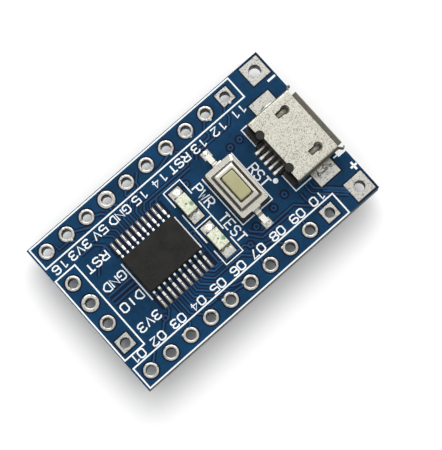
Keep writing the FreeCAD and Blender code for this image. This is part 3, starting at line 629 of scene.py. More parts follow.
def turned(name, profile, sides=32, hollow=False):
    """A round part about Z: its loop is drawn through each (radius, height) of the profile."""
    (radius, height), *rest = profile
    bpy.ops.object.select_all(action="DESELECT")
    bpy.ops.mesh.primitive_circle_add(vertices=sides, radius=radius, location=(0, 0, height),
                                      fill_type="NOTHING" if hollow else "NGON")
    part = just_added(name)
    with at_work_on(part):
        bpy.ops.mesh.select_all(action="SELECT")
        for next_radius, next_height in rest + (profile[:1] if hollow else []):
            pull(z=next_height - height)
            spread(next_radius / radius, next_radius / radius, (0, 0, next_height))
            radius, height = next_radius, next_height
    tidy(part)
    return part


def solder_mound(name, length, width, height, peak=0.4, smooth=1, lean=0.0):
    """A mound on a pad: wide at its foot, pulled in about X = lean as it climbs, flat at its peak."""
    bpy.ops.object.select_all(action="DESELECT")
    bpy.ops.mesh.primitive_plane_add(size=1, location=(0, 0, 0))
    bpy.context.object.scale = (length, width, 1)
    mound = just_added(name)
    wide, reached = 1.0, 0.0
    with at_work_on(mound):
        bpy.ops.mesh.select_all(action="SELECT")
        for share, level in ((1.0, 0.15), (0.3 + peak * 0.7, 0.5), (peak, 1.0)):
            pull(z=height * (level - reached))
            spread(share / wide, share / wide, (lean, 0, height * level))
            wide, reached = share, level
    tidy(mound)
    machine(mound, "SUBSURF", levels=smooth, render_levels=smooth)
    return mound


print("bench is ready")


# %% [markdown]
# ## Plated holes
#
# A plated hole is a hollow rivet: a barrel through the board with a pad on each face, and hot
# tin has left the pad slightly crowned. A cylinder with a hole would give flat pads with hard
# rims, so the section is drawn once and turned. The last hole of each row has a square pad: that
# pad is a plate with softened edges, bored to take a barrel with a narrow flange.

# %% Plated holes
WALL = 0.05
CROWN = 0.02
PADS = {"upper_row_hole_04": 1.7, "debug_hole_2": 1.7, "power_minus_hole": 2.2, "power_plus_hole": 2.2}
SQUARE = {
    "upper_row_hole_10", "lower_row_hole_10", "debug_hole_4", "power_minus_hole", "power_plus_hole",
}
ORDINARY_PAD = 1.5
SQUARE_RIM, SQUARE_PROUD = 0.13, 0.008
TEARDROP_OUT = 0.76
row_spots = {name: spot for name, spot, bore in holes}
TEARDROPS = {
    "header_holes_upper": [(*row_spots[f"upper_row_hole_{n:02d}"][:2], -90) for n in (2, 7, 8, 9, 10)],
    "header_holes_lower": [(*row_spots[f"lower_row_hole_{n:02d}"][:2], 140) for n in (3, 5, 6, 8)],
}
HOLE_NODES = {
    "upper_row": "header_holes_upper", "lower_row": "header_holes_lower",
    "debug": "debug_port_holes", "power": "power_holes",
}


def rivet(bore, rim):
    """Barrel and crowned pads of a plated hole, about Z."""
    outside = bore + WALL
    half = [
        (bore, SEAT - 0.05), (bore + 0.02, SEAT - 0.01), (bore + 0.07, SEAT + CROWN * 0.7),
        ((bore + rim) / 2, SEAT + CROWN), (rim - 0.06, SEAT), (rim, LACQUER_TOP),
        (rim, board_high.z + 0.001), (outside, board_high.z),
    ]
    other = [(radius, SEAT + SEAT_UNDER - height) for radius, height in reversed(half)]
    return turned("rivet", half + other, sides=36, hollow=True)


def square_pad(bore, width, top, under):
    pad = block("square_pad", (-width / 2, -width / 2, under), (width / 2, width / 2, top))
    ease_edges(pad, 0.022, segments=2)
    drill = turned("drill", [(bore + WALL / 2, under - 1), (bore + WALL / 2, top + 1)], sides=36)
    machine(pad, "BOOLEAN", operation="DIFFERENCE", object=drill, solver="EXACT")
    scrap(drill)
    return pad


def teardrops():
    """The small swellings where a track joins its pad: x, y and the angle that each one points in."""
    drops = {}
    for row, spots in TEARDROPS.items():
        drop = solder_mound("teardrop", 0.36, 0.34, 0.05, peak=0.5)
        drops[row] = [
            another(drop, (x + TEARDROP_OUT * math.cos(way), y + TEARDROP_OUT * math.sin(way),
                           LACQUER_TOP - 0.01))
            for x, y, way in ((x, y, math.radians(angle)) for x, y, angle in spots)
        ]
        scrap(drop)
    return drops


def plated_holes():
    parts = {node: [] for node in HOLE_NODES.values()}
    for node, drops in teardrops().items():
        parts[node] += drops
    for name, spot, bore in holes:
        node = next(node for start, node in HOLE_NODES.items() if name.startswith(start))
        width = PADS.get(name, ORDINARY_PAD)
        place = (spot.x, spot.y, 0)
        square = name in SQUARE
        parts[node].append(put(rivet(bore, bore + SQUARE_RIM if square else width / 2), place))
        if square:
            for top, under in ((SEAT + SQUARE_PROUD, board_high.z), (board_low.z, SEAT_UNDER - SQUARE_PROUD)):
                parts[node].append(put(square_pad(bore, width, top, under), place))
    for node, pieces in parts.items():
        hand_over(gather("tinned_" + node, pieces), HOLE_TIN, "tinned_copper", node)


plated_holes()


# %% [markdown]
# ## Tracks and legend
#
# Copper tracks stand a little proud under the lacquer, each with a dark gap of bare glass on both
# sides, and the legend is ink laid on top in lines of even width. All of it is lines on a flat
# board. A curve with a round bevel, pressed almost flat, gives a low rounded bead that catches
# the light along its edges, which a flat strip would not do. Lettering is drawn the same way,
# from strokes on a small grid, since a plotter draws it so.

# %% Lines on the board
def drawn_lines(name, lines, width, level, rise):
    """A flat bead of the width along each line of (x, y) points; a line back to its start is a ring."""
    curve = bpy.data.curves.new(name, "CURVE")
    curve.dimensions = "3D"
    curve.bevel_depth = width / 2
    curve.bevel_resolution = 1
    curve.use_fill_caps = True
    for points in lines:
        closed = points[0] == points[-1] and len(points) > 2
        corners = points[:-1] if closed else points
        spline = curve.splines.new("POLY")
        spline.points.add(len(corners) - 1)
        for point, (x, y) in zip(spline.points, corners):
            point.co = (x, y, 0, 1)
        spline.use_cyclic_u = closed
    piece = bpy.data.objects.new(name, curve)
    bpy.context.scene.collection.objects.link(piece)
    take(piece)
    bpy.ops.object.convert(target="MESH")
    piece = bpy.context.object
    piece.scale.z = rise / (width / 2)
    piece.location.z = level
    bpy.ops.object.transform_apply(location=True, rotation=True, scale=True)
    return piece


def ring(x, y, radius, corners=16):
    points = [
        (x + radius * math.cos(angle), y + radius * math.sin(angle))
        for angle in (math.tau * step / corners for step in range(corners))
    ]
    return points + points[:1]


GLYPHS = {
    "0": "10-01-05-16-36-45-41-30-10", "1": "05-26-20", "2": "05-16-36-45-44-00-40",
    "3": "05-16-36-45-44-33-42-41-30-10-01|13-33", "4": "30-36-02-42", "5": "46-06-03-33-42-41-30-10-01",
    "6": "45-36-16-05-01-10-30-41-42-33-03", "7": "06-46-10",
    "8": "13-04-05-16-36-45-44-33-13-02-01-10-30-41-42-33", "9": "01-10-30-41-45-36-16-05-04-13-43",
    "D": "00-06-26-44-42-20-00", "E": "46-06-00-40|03-33", "G": "45-36-16-05-01-10-30-41-43-23",
    "I": "20-26", "N": "00-06-40-46", "O": "10-01-05-16-36-45-41-30-10", "P": "00-06-36-45-44-33-03",
    "R": "00-06-36-45-44-33-03|23-40", "S": "01-10-30-41-42-33-13-04-05-16-36-45", "T": "06-46|26-20",
    "V": "06-20-46", "W": "06-10-24-30-46",
}


def lettering(text, x, y, height, pitch, turn):
    """Strokes of a word centred on (x, y); the turn is in degrees, anticlockwise."""
    unit_y, unit_x = height / 6, pitch * 0.75 / 4
    cos, sin = math.cos(math.radians(turn)), math.sin(math.radians(turn))
    strokes = []
    for place, letter in enumerate(text):
        left = (place - (len(text) - 1) / 2) * pitch - unit_x * 2
        for stroke in GLYPHS[letter].split("|"):
            flat = [(left + int(dot[0]) * unit_x, (int(dot[1]) - 3) * unit_y) for dot in stroke.split("-")]
            strokes.append([(x + u * cos - v * sin, y + u * sin + v * cos) for u, v in flat])
    return strokes


def frame_of(x1, y1, x2, y2):
    return [(x1, y1), (x2, y1), (x2, y2), (x1, y2), (x1, y1)]


print("line tools ready")


# %% [markdown]
# ## The legend
#
# One print of white ink holds the frames round the rows of holes, the brackets round the lights
# and the button, a name at every hole and a sign at each power hole. The names are kept in lists
# in the order of the holes, so each lands beside its own hole wherever the CAD has put it.

# %% Legend on the top face
ROW_LINES = [
    frame_of(-14.5, 6.35, 10.95, 8.8), frame_of(-14.5, -8.85, 10.95, -6.4),
    frame_of(-14.6, -5.3, -12.15, 4.85),
]
PART_LINES = [
    [(-8.75, 1.95), (-8.75, -2.65)], [(-1.93, 2.0), (-1.93, -1.95)],
    [(-1.24, 2.6), (-1.24, 4.4), (0.85, 4.4), (0.85, 2.6)],
    [(-1.24, 1.6), (-1.24, -0.25), (0.85, -0.25), (0.85, 1.6)],
    [(-1.24, -0.25), (-1.24, -2.0)], [(0.85, -0.25), (0.85, -2.0)],
    [(-1.24, -3.0), (-1.24, -4.82), (0.85, -4.82), (0.85, -3.0)],
    [(6.3, 3.05), (6.3, -2.97), (4.75, -2.97)], [(4.0, -2.97), (2.5, -2.97), (2.5, 3.0)],
    [(8.52, 1.95), (8.52, 4.06), (9.25, 4.06)], [(8.52, -1.85), (8.52, -3.9), (10.5, -3.9)],
    [(13.35, -3.9), (13.8, -3.9)],
]
SIGNS = [[(13.65, 5.97), (14.6, 5.97)], [(13.95, -5.75), (14.7, -5.75)], [(14.33, -5.3), (14.33, -6.2)]]
UPPER_WORDS = ["16", "3V3", "5V", "GND", "15", "14", "RST", "13", "12", "11"]
LOWER_WORDS = ["01", "02", "03", "04", "05", "06", "07", "08", "09", "10"]
SIDE_WORDS = ["RST", "GND", "DIO", "3V3"]


def legend():
    words = []
    rows = {"upper_row": (UPPER_WORDS, 5.62), "lower_row": (LOWER_WORDS, -5.8)}
    for name, spot, _ in holes:
        row, _, number = name.rpartition("_hole_")
        if row in rows:
            labels, y = rows[row]
            words += lettering(labels[int(number) - 1], spot.x - 0.02, y, 0.8, 0.86, 180)
        elif row == "debug":
            words += lettering(SIDE_WORDS[int(number) - 1], -10.35, spot.y + 0.02, 0.85, 0.92, 180)
    words += lettering("PWR", 1.57, 1.68, 1.0, 0.86, -90)
    words += lettering("TEST", 1.6, -2.5, 1.0, 0.84, -90)
    words += lettering("RST", 6.88, -0.38, 1.05, 0.86, -90)
    level, rise = LACQUER_TOP + 0.012, 0.014
    pieces = [
        drawn_lines("row_lines", ROW_LINES, 0.21, level, rise),
        drawn_lines("part_lines", PART_LINES, 0.14, level, rise),
        drawn_lines("words", words, 0.155, level, rise),
        drawn_lines("signs", SIGNS, 0.22, level, rise),
        put(turned("pin_mark", [(0.27, 0), (0.25, 0.014), (0.02, 0.02)], sides=20),
            (7.7, -1.85, LACQUER_TOP)),
    ]
    hand_over(gather("legend", pieces), WHITE_INK, "white_ink")


legend()


# %% [markdown]
# ## The controller
#
# The controller is a block of black moulding with ten gull-wing leads on each side. The moulding
# is made in two halves that meet halfway up, so it leans in above and below a faint line. It
# starts as a block, is bisected at that line, and its top and bottom are drawn in.

# %% Controller package
def moulded_package(name, node, draft, seam=0.02):
    """A block the size of the node that leans in by the draft above and below its middle."""
    low, high = corners_of(node)
    package = block(name, low, high)
    middle = (low + high) / 2
    reach = (high - low) / 2
    with at_work_on(package):
        for step in (-seam, seam):
            bpy.ops.mesh.select_all(action="SELECT")
            bpy.ops.mesh.bisect(plane_co=(0, 0, middle.z + step), plane_no=(0, 0, 1))
        for end in (low.z, high.z):
            choose(package, "verts", lambda spot, _: abs(spot.z - end) < 0.001)
            spread(1 - draft / reach.x, 1 - draft / reach.y, (middle.x, middle.y, end))
    ease_edges(package, 0.045, segments=3, angle=50)
    return package


package = moulded_package("controller_package", "chip_package", 0.1)
hand_over(package, BLACK_PACKAGE, "package_epoxy", "chip_package")


# %% [markdown]
# ## The controller's leads
#
# A lead leaves the moulding level, drops to its pad and ends in a flat foot. All of them come off
# one press, so one strip is bent and copied twenty times. A low mound at each toe is the solder
# that has climbed over it.

# %% Controller leads and their solder
LEAD_WIDTH, LEAD_GAUGE, LEAD_PITCH, LEADS_A_SIDE = 0.23, 0.13, 0.65, 10


def gull_lead(name, width, gauge, inner, knee, heel, toe, exit_level, bend):
    """A lead that leaves its package, drops to the pad and ends in a flat foot, along X."""
    path = [(inner, exit_level), (knee, exit_level), (heel, gauge / 2), (toe, gauge / 2)]
    lead = bent_strip(name, width, gauge, path, bend)
    ease_edges(lead, gauge * 0.18, segments=2, angle=50)
    return lead


def controller_leads():
    chip = middle_of("chip_package")
    low, high = corners_of("chip_leads")
    span = (high.y - low.y) / 2
    lead = gull_lead("lead", LEAD_WIDTH, LEAD_GAUGE, 1.5, 2.38, span - 0.50, span, 0.6, 0.12)
    toe = solder_mound("toe", 0.98, 0.22, 0.09, peak=0.6)
    leads, toes = [], []
    for side in (-1, 1):
        for step in range(LEADS_A_SIDE):
            x = chip.x + LEAD_PITCH * (step - (LEADS_A_SIDE - 1) / 2)
            leads.append(another(lead, (x, chip.y, SEAT), 90 * side))
            toes.append(another(toe, (x, chip.y + (span + 0.40) * side, SEAT - 0.01), 90))
    scrap(lead, toe)
    hand_over(gather("controller_leads", leads), LEAD_TIN, "tinned_lead", "chip_leads")
    hand_over(gather("controller_solder", toes), LEAD_TIN, "tinned_copper")


controller_leads()


# %% [markdown]
# ## The USB socket
#
# The socket's shell is one sheet of steel rolled round a tube until its edges meet underneath.
# Seen from the front it is a flat box with cut lower corners. Blocks with holes would lose the
# even thickness and the round bends, so the same press-work is done here: one strip follows the
# whole section and is given its wall afterwards. Keyholes for the plug's latches and the notches
# at the back are then cut through the roof, and flared lips and solder feet are bent strips too.

# %% Socket shell
STEEL = 0.25
SHELL_LONG, SHELL_REACH, SHELL_HIGH = 5.05, 3.75, 2.45
LATCH_Y = 2.38
port = next(mount for mount in frame["record"]["mounts"] if mount["name"] == "usb_port")
FRONT, SOCKET_Y, _ = (value / MM for value in port["pos_m"])


def shell_tube():
    floor, side, shoulder, top = 2.9, SHELL_REACH, 0.85, SHELL_HIGH
    path = [
        (0, 0), (floor, 0), (side, shoulder), (side, top),
        (-side, top), (-side, shoulder), (-floor, 0), (-0.001, 0),
    ]
    tube = bent_strip("shell", SHELL_LONG, STEEL, path, 0.25, side=-1, steps=5)
    return put(tube, (FRONT - SHELL_LONG / 2, SOCKET_Y, SEAT), 90)


def shell_cutters():
    low, high = SEAT + 2.0, SEAT + 3.2
    cutters = []
    for way in (-1, 1):
        y = SOCKET_Y + LATCH_Y * way
        cutters.append(block("slot", (FRONT - 2.5, y - 0.31, low), (FRONT - 1.3, y + 0.31, high)))
        ease_edges(cutters[-1], 0.12, segments=3)
        cutters.append(put(turned("eye", [(0.46, low), (0.46, high)]), (FRONT - 1.45, y, 0)))
        y = SOCKET_Y + 2.1 * way
        cutters.append(put(turned("notch", [(0.5, low), (0.5, high)]), (FRONT - 4.93, y, 0)))
    for reach, edge, bottom, top in ((1.85, 4.78, low, high), (2.0, 4.45, SEAT - 0.1, SEAT + 0.35)):
        near = (FRONT - 5.4, SOCKET_Y - reach, bottom)
        cutters.append(block("back_edge", near, (FRONT - edge, SOCKET_Y + reach, top)))
    return cutters


def shell_lips():
    lip = bent_strip("lip", 6.6, 0.2, [(-0.5, 0), (-0.03, 0), (0.44, 0.30)], 0.25, steps=5)
    hook = [(-0.5, 0), (-0.03, 0), (0.18, 0.18), (0.34, 0.40), (0.50, 0.38), (0.55, 0.24)]
    side_lip = bent_strip("side_lip", 0.9, 0.12, hook, 0.07, steps=4)
    floor_lip = bent_strip("floor_lip", 5.1, 0.2, [(-0.5, 0), (-0.03, 0), (0.44, 0.26)], 0.25, steps=5)
    for strip in (lip, side_lip, floor_lip):
        ease_edges(strip, 0.025, segments=2)
    middle = SEAT + 1.4
    return [
        put(lip, (FRONT, SOCKET_Y - 0.32, SEAT + SHELL_HIGH - STEEL / 2)),
        put(floor_lip, (FRONT, SOCKET_Y, SEAT + STEEL / 2), roll=180),
        another(side_lip, (FRONT, SOCKET_Y + SHELL_REACH - STEEL / 2, middle), roll=-90),
        put(side_lip, (FRONT, SOCKET_Y - SHELL_REACH + STEEL / 2, middle), roll=90),
    ]


def shell_feet():
    length = 1.1
    foot = bent_strip("foot", length, STEEL, [(3.62, 1.1), (3.62, STEEL / 2), (4.15, STEEL / 2)], 0.16)
    ease_edges(foot, 0.04)
    x = FRONT - 1.7 - length / 2
    return [another(foot, (x, SOCKET_Y, SEAT), -90), put(foot, (x, SOCKET_Y, SEAT), 90)]


def shell_latches():
    latch = bent_strip("latch", 0.42, 0.16, [(-2.45, -0.40), (-1.9, -0.40), (-1.1, -0.62)], 0.5)
    ease_edges(latch, 0.03)
    level = SEAT + SHELL_HIGH
    return [
        another(latch, (FRONT, SOCKET_Y + LATCH_Y, level)),
        put(latch, (FRONT, SOCKET_Y - LATCH_Y, level)),
    ]


def socket_shell():
    tube = shell_tube()
    cutters = shell_cutters()
    for cutter in cutters:
        machine(tube, "BOOLEAN", operation="DIFFERENCE", object=cutter, solver="EXACT")
    scrap(*cutters)
    ease_edges(tube, 0.035, segments=2, angle=50)
    shell = gather("socket_shell", [tube] + shell_feet())
    hand_over(shell, SHELL_STEEL, "socket_shell_steel", "usb_shell")
    # The lips and latches take the darker steel of painted shade.
    hand_over(gather("socket_lips", shell_lips() + shell_latches()), SHADED_STEEL, "socket_shell_steel")


def socket_ledges():
    """Black blocks behind the shell on both sides of its contacts: the moulding's own black, with painted
    shadow from the shell's rear edge.
    """
    ledges = []
    for way in (-1, 1):
        near, far = sorted((1.85 * way, 3.55 * way))
        ledge = block("ledge", (FRONT - 5.5, SOCKET_Y + near, SEAT + 0.02),
                      (FRONT - 4.95, SOCKET_Y + far, SEAT + 0.95))
        ease_edges(ledge, 0.06)
        ledges.append(ledge)
    hand_over(gather("socket_ledges", ledges), BLACK_NYLON, "black_nylon")


socket_shell()
socket_ledges()


# %% [markdown]
# ## Solder on the socket
#
# The socket is held by its feet, so each foot stands in a generous pool. The pool on the lower
# side is lumpy, with a second drop beside the foot. A mound from the bench does both.

# %% Socket solder
def socket_solder():
    x = FRONT - 2.25
    drops = []
    for length, width, height, dx, y, turn in (
        (1.6, 0.7, 0.30, 0.0, -4.1, 0), (0.8, 0.75, 0.5, 0.25, -4.0, 25),
        (0.5, 0.45, 0.28, -0.6, -4.25, 50), (0.42, 0.40, 0.24, 0.85, -4.3, 10),
        (1.6, 0.60, 0.30, 0.0, 4.08, 0),
    ):
        drop = solder_mound("drop", length, width, height, peak=0.45, smooth=2)
        drops.append(put(drop, (x + dx, SOCKET_Y + y, SEAT - 0.01), turn))
    tail = solder_mound("tail", 0.22, 0.14, 0.05, peak=0.5)
    for step in range(5):
        drops.append(another(tail, (FRONT - 6.1, SOCKET_Y + 0.65 * (step - 2), SEAT - 0.01)))
    scrap(tail)
    hand_over(gather("socket_solder", drops), SOLDER, "tinned_copper")


socket_solder()


# %% [markdown]
# ## The reset button
#
# Over a black case sits a pressed steel cover: a flat frame, and inside it a raised rim with
# sloping sides round the window for the keycap. It is drawn up from one sheet. The sheet's loop
# is extruded and resized inwards in steps, up the slope and in to the window. The first sheet and
# the last one still close the middle, so both are taken out. The four corners are rounded first,
# so that every later loop keeps the radius.

# %% Button cover
def sheet_with_rounded_corners(name, length, width, level, radius):
    bpy.ops.object.select_all(action="DESELECT")
    bpy.ops.mesh.primitive_plane_add(size=1, location=(0, 0, level))
    bpy.context.object.scale = (length, width, 1)
    sheet = just_added(name)
    with at_work_on(sheet):
        bpy.ops.mesh.select_all(action="SELECT")
        bpy.ops.mesh.bevel(offset=radius, segments=5, affect="VERTICES")
    return sheet


def step_in(now, wanted, rise, level):
    """Carry the chosen face up by the rise and in to the wanted size."""
    pull(z=rise)
    spread(wanted[0] / now[0], wanted[1] / now[1], (0, 0, level + rise))
    return wanted, level + rise


def button_cover():
    gauge = 0.15
    level = corners_of("reset_case")[1].z - SEAT + 0.2
    rim = 0.35
    size = (3.3, 5.6)
    cover = sheet_with_rounded_corners("cover", *size, level, 0.22)
    with at_work_on(cover):
        choose(cover, "faces", lambda spot, facing: True)
        for wanted, rise in (
            ((2.80, 4.60), 0.0), ((2.72, 4.52), 0.03), ((2.22, 4.02), rim - 0.07), ((2.10, 3.90), rim - 0.32),
            ((1.66, 3.16), 0.01), ((1.60, 3.1), -0.03), ((1.60, 3.1), -0.12),
        ):
            size, level = step_in(size, wanted, rise, level)
        choose(cover, "faces", lambda spot, _: math.hypot(spot.x, spot.y) < 0.1)
        bpy.ops.mesh.delete(type="FACE")
        bpy.ops.mesh.select_all(action="SELECT")
        bpy.ops.mesh.normals_make_consistent(inside=False)
    machine(cover, "SOLIDIFY", thickness=gauge, offset=-1)
    ease_edges(cover, 0.03, segments=2, angle=45)
    return cover


def cover_clips():
    """A clip at each end, bent down over the case."""
    case = (corners_of("reset_case")[1] - corners_of("reset_case")[0]) / 2
    top = case.z * 2 + 0.125
    reach = case.y + 0.07
    clip = bent_strip("clip", 1.0, 0.14, [(case.y - 0.3, top), (reach, top), (reach, top - 0.85)], 0.10)
    ease_edges(clip, 0.03)
    return [another(clip, (0, 0, 0), 90), put(clip, (0, 0, 0), -90)]


def fitted_cover():
    cover = gather("button_cover", [button_cover()] + cover_clips())
    middle = middle_of("reset_cover")
    put(cover, (middle.x, middle.y, SEAT))
    return hand_over(cover, COVER_STEEL, "bright_cover_steel", "reset_cover")


fitted_cover()


# %% [markdown]
# ## The keycap
#
# The keycap is one moulding: a stem that shows in the window, a wider flange caught under the
# cover, and a nub that pushes the spring dome. The stem is drawn up from a sheet with rounded
# corners, the flange is a block and the nub is turned. The cap rides on the plunger's body, so a
# press moves it.

# %% Keycap
PRESS = 0.27


def keycap():
    """The keycap rides on the plunger; its nub stops short of the dome by the length of a press."""
    low, high = corners_of("reset_plunger")
    middle = (low + high) / 2
    stem = (1.35, 2.85)
    cap = sheet_with_rounded_corners("keycap", *stem, 0, 0.2)
    flange_low, flange_top = 4.95, 5.07
    size, level = stem, 0.0
    with at_work_on(cap):
        bpy.ops.mesh.select_all(action="SELECT")
        for wanted, height in (
            (stem, high.z - 0.08), ((1.31, 2.81), high.z - 0.03), ((1.23, 2.73), high.z - 0.004),
            ((1.0, 2.5), high.z),
        ):
            size, level = step_in(size, wanted, height - level, level)
    with at_work_on(cap):
        choose(cap, "verts", lambda spot, _: spot.z < 0.001)
        bpy.ops.transform.translate(value=(0, 0, flange_top - 0.02))
    flange = block("flange", (-0.88, -1.68, flange_low + 0.02), (0.88, 1.68, flange_top - 0.01))
    ease_edges(flange, 0.05)
    nub_profile = [(0.30, low.z + PRESS), (0.42, low.z + PRESS + 0.06), (0.44, flange_low + 0.05)]
    nub = turned("nub", nub_profile, sides=24)
    tidy(cap)
    whole = gather("keycap", [cap, flange, nub])
    put(whole, (middle.x, middle.y, 0))
    return hand_over(whole, CREAM, "cream_plunger", "reset_plunger", body="plunger")


keycap()


# %% [markdown]
# ## Copper under the lacquer
#
# Tracks run from the controller's pads to the header holes, and small filled holes carry a few
# of them through the board. Under the lacquer a track shows as a low ridge, lighter than the
# board, between two dark gaps. So each route is drawn twice: a wide dark bead, almost flat, and a
# narrow light one on top. The underside has its own, shorter routes round the regulator.

# %% Tracks and filled holes
TRACKS = [
    [(-11.1, 5.1), (-9.5, 5.1), (-8.75, 4.35), (-8.75, 3.55)],
    [(-9.4, 5.4), (-8.5, 5.4), (-7.55, 4.5), (-7.55, 4.15)],
    [(-6.95, 4.15), (-6.95, 4.75), (-7.7, 5.5), (-7.7, 6.2)],
    [(-6.3, 4.15), (-6.3, 5.4), (-6.0, 5.7), (-6.0, 6.95)],
    [(-5.65, 4.15), (-5.65, 5.15), (-5.25, 5.55), (-5.25, 6.2), (-5.25, 6.55), (-5.8, 7.15)],
    [(-5.0, 4.15), (-5.0, 5.05), (-4.05, 6.0), (-4.05, 6.75), (-3.45, 7.35)],
    [(-4.35, 4.15), (-4.35, 4.8), (-3.6, 5.55), (-2.5, 6.65), (-2.5, 6.95), (-1.75, 7.7)],
    [(-3.65, 4.15), (-3.65, 4.45), (-3.2, 4.95), (2.45, 4.95), (2.95, 5.45), (2.95, 6.1), (2.35, 6.7)],
    [(-3.0, 4.15), (-3.0, 4.3), (-2.75, 4.6), (1.75, 4.6), (2.35, 4.6)],
    [(-2.4, 4.15), (-2.0, 4.5)],
    [(3.05, 5.05), (3.55, 5.6), (5.65, 5.6), (5.9, 5.85), (5.9, 6.55), (6.6, 7.25)],
    [(3.35, 4.75), (3.8, 5.25), (7.95, 5.25), (8.55, 5.85), (8.55, 6.55), (9.15, 7.2)],
    [(-4.65, 5.9), (-3.95, 6.55), (-3.45, 6.55)],
    [(-10.6, 6.55), (-11.1, 6.95), (-12.3, 6.95), (-12.3, 7.35)],
    [(-8.55, 6.55), (-9.35, 6.95), (-10.1, 7.35)], [(-11.7, 0.35), (-8.9, 0.35)],
    [(-11.7, -0.15), (-8.9, -0.15)], [(-11.7, -0.6), (-8.9, -0.6)],
    [(-8.2, -4.15), (-8.2, -4.4), (-8.8, -5.0), (-9.4, -5.0), (-10.45, -6.0), (-11.35, -6.0), (-12.8, -7.3)],
    [(-7.55, -4.15), (-7.55, -6.7), (-8.05, -7.2)], [(-6.95, -4.15), (-6.95, -6.0), (-6.0, -6.95)],
    [(-6.3, -4.15), (-6.3, -5.3), (-5.0, -6.65), (-4.05, -6.65), (-3.55, -7.15)],
    [(-5.65, -4.15), (-5.65, -5.05), (-3.8, -6.9)],
    [(-5.0, -4.15), (-5.0, -4.75), (-2.5, -7.2), (-1.05, -7.45)],
    [(-4.35, -4.15), (-4.35, -4.5), (-3.45, -5.4), (-2.1, -6.75), (-1.15, -7.1)],
    [(-3.65, -4.15), (-3.65, -4.3), (-2.95, -5.05), (0.45, -5.05), (1.65, -6.25), (1.65, -7.2)],
    [(-3.0, -3.95), (-2.5, -4.5), (1.25, -4.5), (2.45, -5.75), (3.45, -6.0), (4.3, -7.05)],
    [(-2.4, -4.05), (-2.15, -4.25), (-1.3, -4.25)],
    [(2.25, -3.6), (2.25, -4.05), (3.1, -5.15), (6.35, -5.15), (7.0, -5.8), (7.0, -7.05)],
    [(2.6, -3.6), (2.6, -3.9), (3.45, -4.75), (7.45, -4.75), (8.3, -5.6), (9.0, -6.25), (9.35, -7.05)],
    [(9.5, -4.15), (9.5, -5.0), (10.0, -5.55), (12.05, -7.55)],
    [(10.0, -4.15), (10.0, -4.8), (12.3, -7.1)], [(10.5, -5.6), (12.4, -7.5)],
    [(10.85, -5.5), (12.5, -7.1)], [(8.65, -4.4), (8.65, -5.3), (9.25, -5.9)],
    [(-8.75, 4.3), (-9.9, 3.9), (-11.1, 2.5)], [(-6.7, 6.55), (-7.05, 6.95), (-7.9, 7.35)],
    [(-0.7, 6.55), (0.15, 6.55), (1.85, 7.35)], [(4.65, 6.75), (5.05, 7.2)],
    [(-1.65, -4.3), (-1.65, -2.95), (-1.6, -0.7)],
]
VIAS = [
    (1.0, 3.65), (6.6, 3.5), (7.8, 3.5), (3.35, -3.95), (5.8, -3.7), (7.45, -3.4), (1.75, -4.9),
    (-1.65, -0.4), (-9.0, -4.75), (-9.9, 0.8),
]
UNDER_TRACKS = [
    [(-2.0, 2.3), (-3.2, 3.4), (-4.3, 3.4)], [(-6.2, 3.4), (-8.2, 5.4), (-8.2, 6.8)],
    [(-2.0, 0.0), (-6.5, 0.0), (-8.4, 1.6)], [(-10.2, 1.6), (-11.4, 2.8), (-12.7, 3.5)],
    [(-2.0, -2.3), (-3.1, -3.4), (-4.3, -3.4)], [(-6.2, -3.4), (-7.0, -4.2), (-7.0, -6.0), (-8.2, -7.1)],
    [(-10.2, -2.2), (-11.3, -3.3), (-12.7, -3.9)], [(-8.3, -2.2), (-7.4, -1.3), (-5.0, -1.3)],
    [(5.2, 0.0), (7.0, 0.0), (8.6, 2.0)], [(10.6, 4.3), (12.0, 5.7), (12.4, 6.6)],
    [(10.6, 2.1), (11.6, 3.1), (12.0, 5.7)],
    [(8.7, -2.3), (7.2, -3.8), (7.2, -6.4), (6.8, -7.1)], [(10.5, -4.3), (11.8, -5.6), (12.5, -6.5)],
    [(8.7, -4.3), (8.0, -5.0), (5.2, -5.0), (4.4, -5.8), (4.4, -7.0)],
    [(-3.2, 5.6), (1.9, 5.6), (1.9, 6.9)],
    [(-0.6, -7.0), (-0.6, -5.4), (-3.6, -5.4), (-4.6, -4.4)], [(-11.0, 5.6), (-9.8, 4.4), (-9.3, 2.9)],
]
UNDER_VIAS = [
    (-3.2, 5.6), (-4.6, -4.4), (-9.3, 2.9), (-5.0, -1.3), (7.0, 0.0), (11.2, 0.2), (5.9, 3.6), (6.1, -3.1),
    (-11.0, 5.6),
]
TRACK_WIDTH = 0.20
GAP_WIDTH = 0.48
CLEAR = 0.17
PAD_OVERLAP = 0.16


def clearances():
    """Dark outlines where the copper plane keeps clear of the pads, as lists of points."""
    outlines = []
    for name, spot, bore in holes:
        reach = PADS.get(name, ORDINARY_PAD) / 2 + CLEAR / 2
        if name in SQUARE:
            outlines.append(frame_of(spot.x - reach, spot.y - reach, spot.x + reach, spot.y + reach))
        else:
            outlines.append(ring(spot.x, spot.y, reach, corners=24))
    for node in ("power_light_pads", "test_light_pads", "usb_anchor_pads"):
        low, high = corners_of(node)
        edge = CLEAR / 2
        outlines.append(frame_of(low.x - edge, low.y - edge, high.x + edge, high.y + edge))
    return outlines


def lead_gaps():
    """Bare glass between the controller's pads."""
    chip, (low, high) = middle_of("chip_package"), corners_of("chip_pads")
    return [
        [(chip.x + LEAD_PITCH * step, edge), (chip.x + LEAD_PITCH * step, edge - 1.6 * side)]
        for step in range(-5, 6) for side, edge in ((-1, low.y), (1, high.y))
    ]


def stopped_at_pads(tracks):
    """The same tracks, with any end that would hang over a hole drawn back to the pad round it."""
    def drawn_back(point):
        for _, spot, bore in holes:
            away = Vector(point) - spot.xy
            if away.length < bore + PAD_OVERLAP:
                point = spot.xy + away.normalized() * (bore + PAD_OVERLAP)
        return tuple(point)

    return [[drawn_back(point) for point in track] for track in tracks]


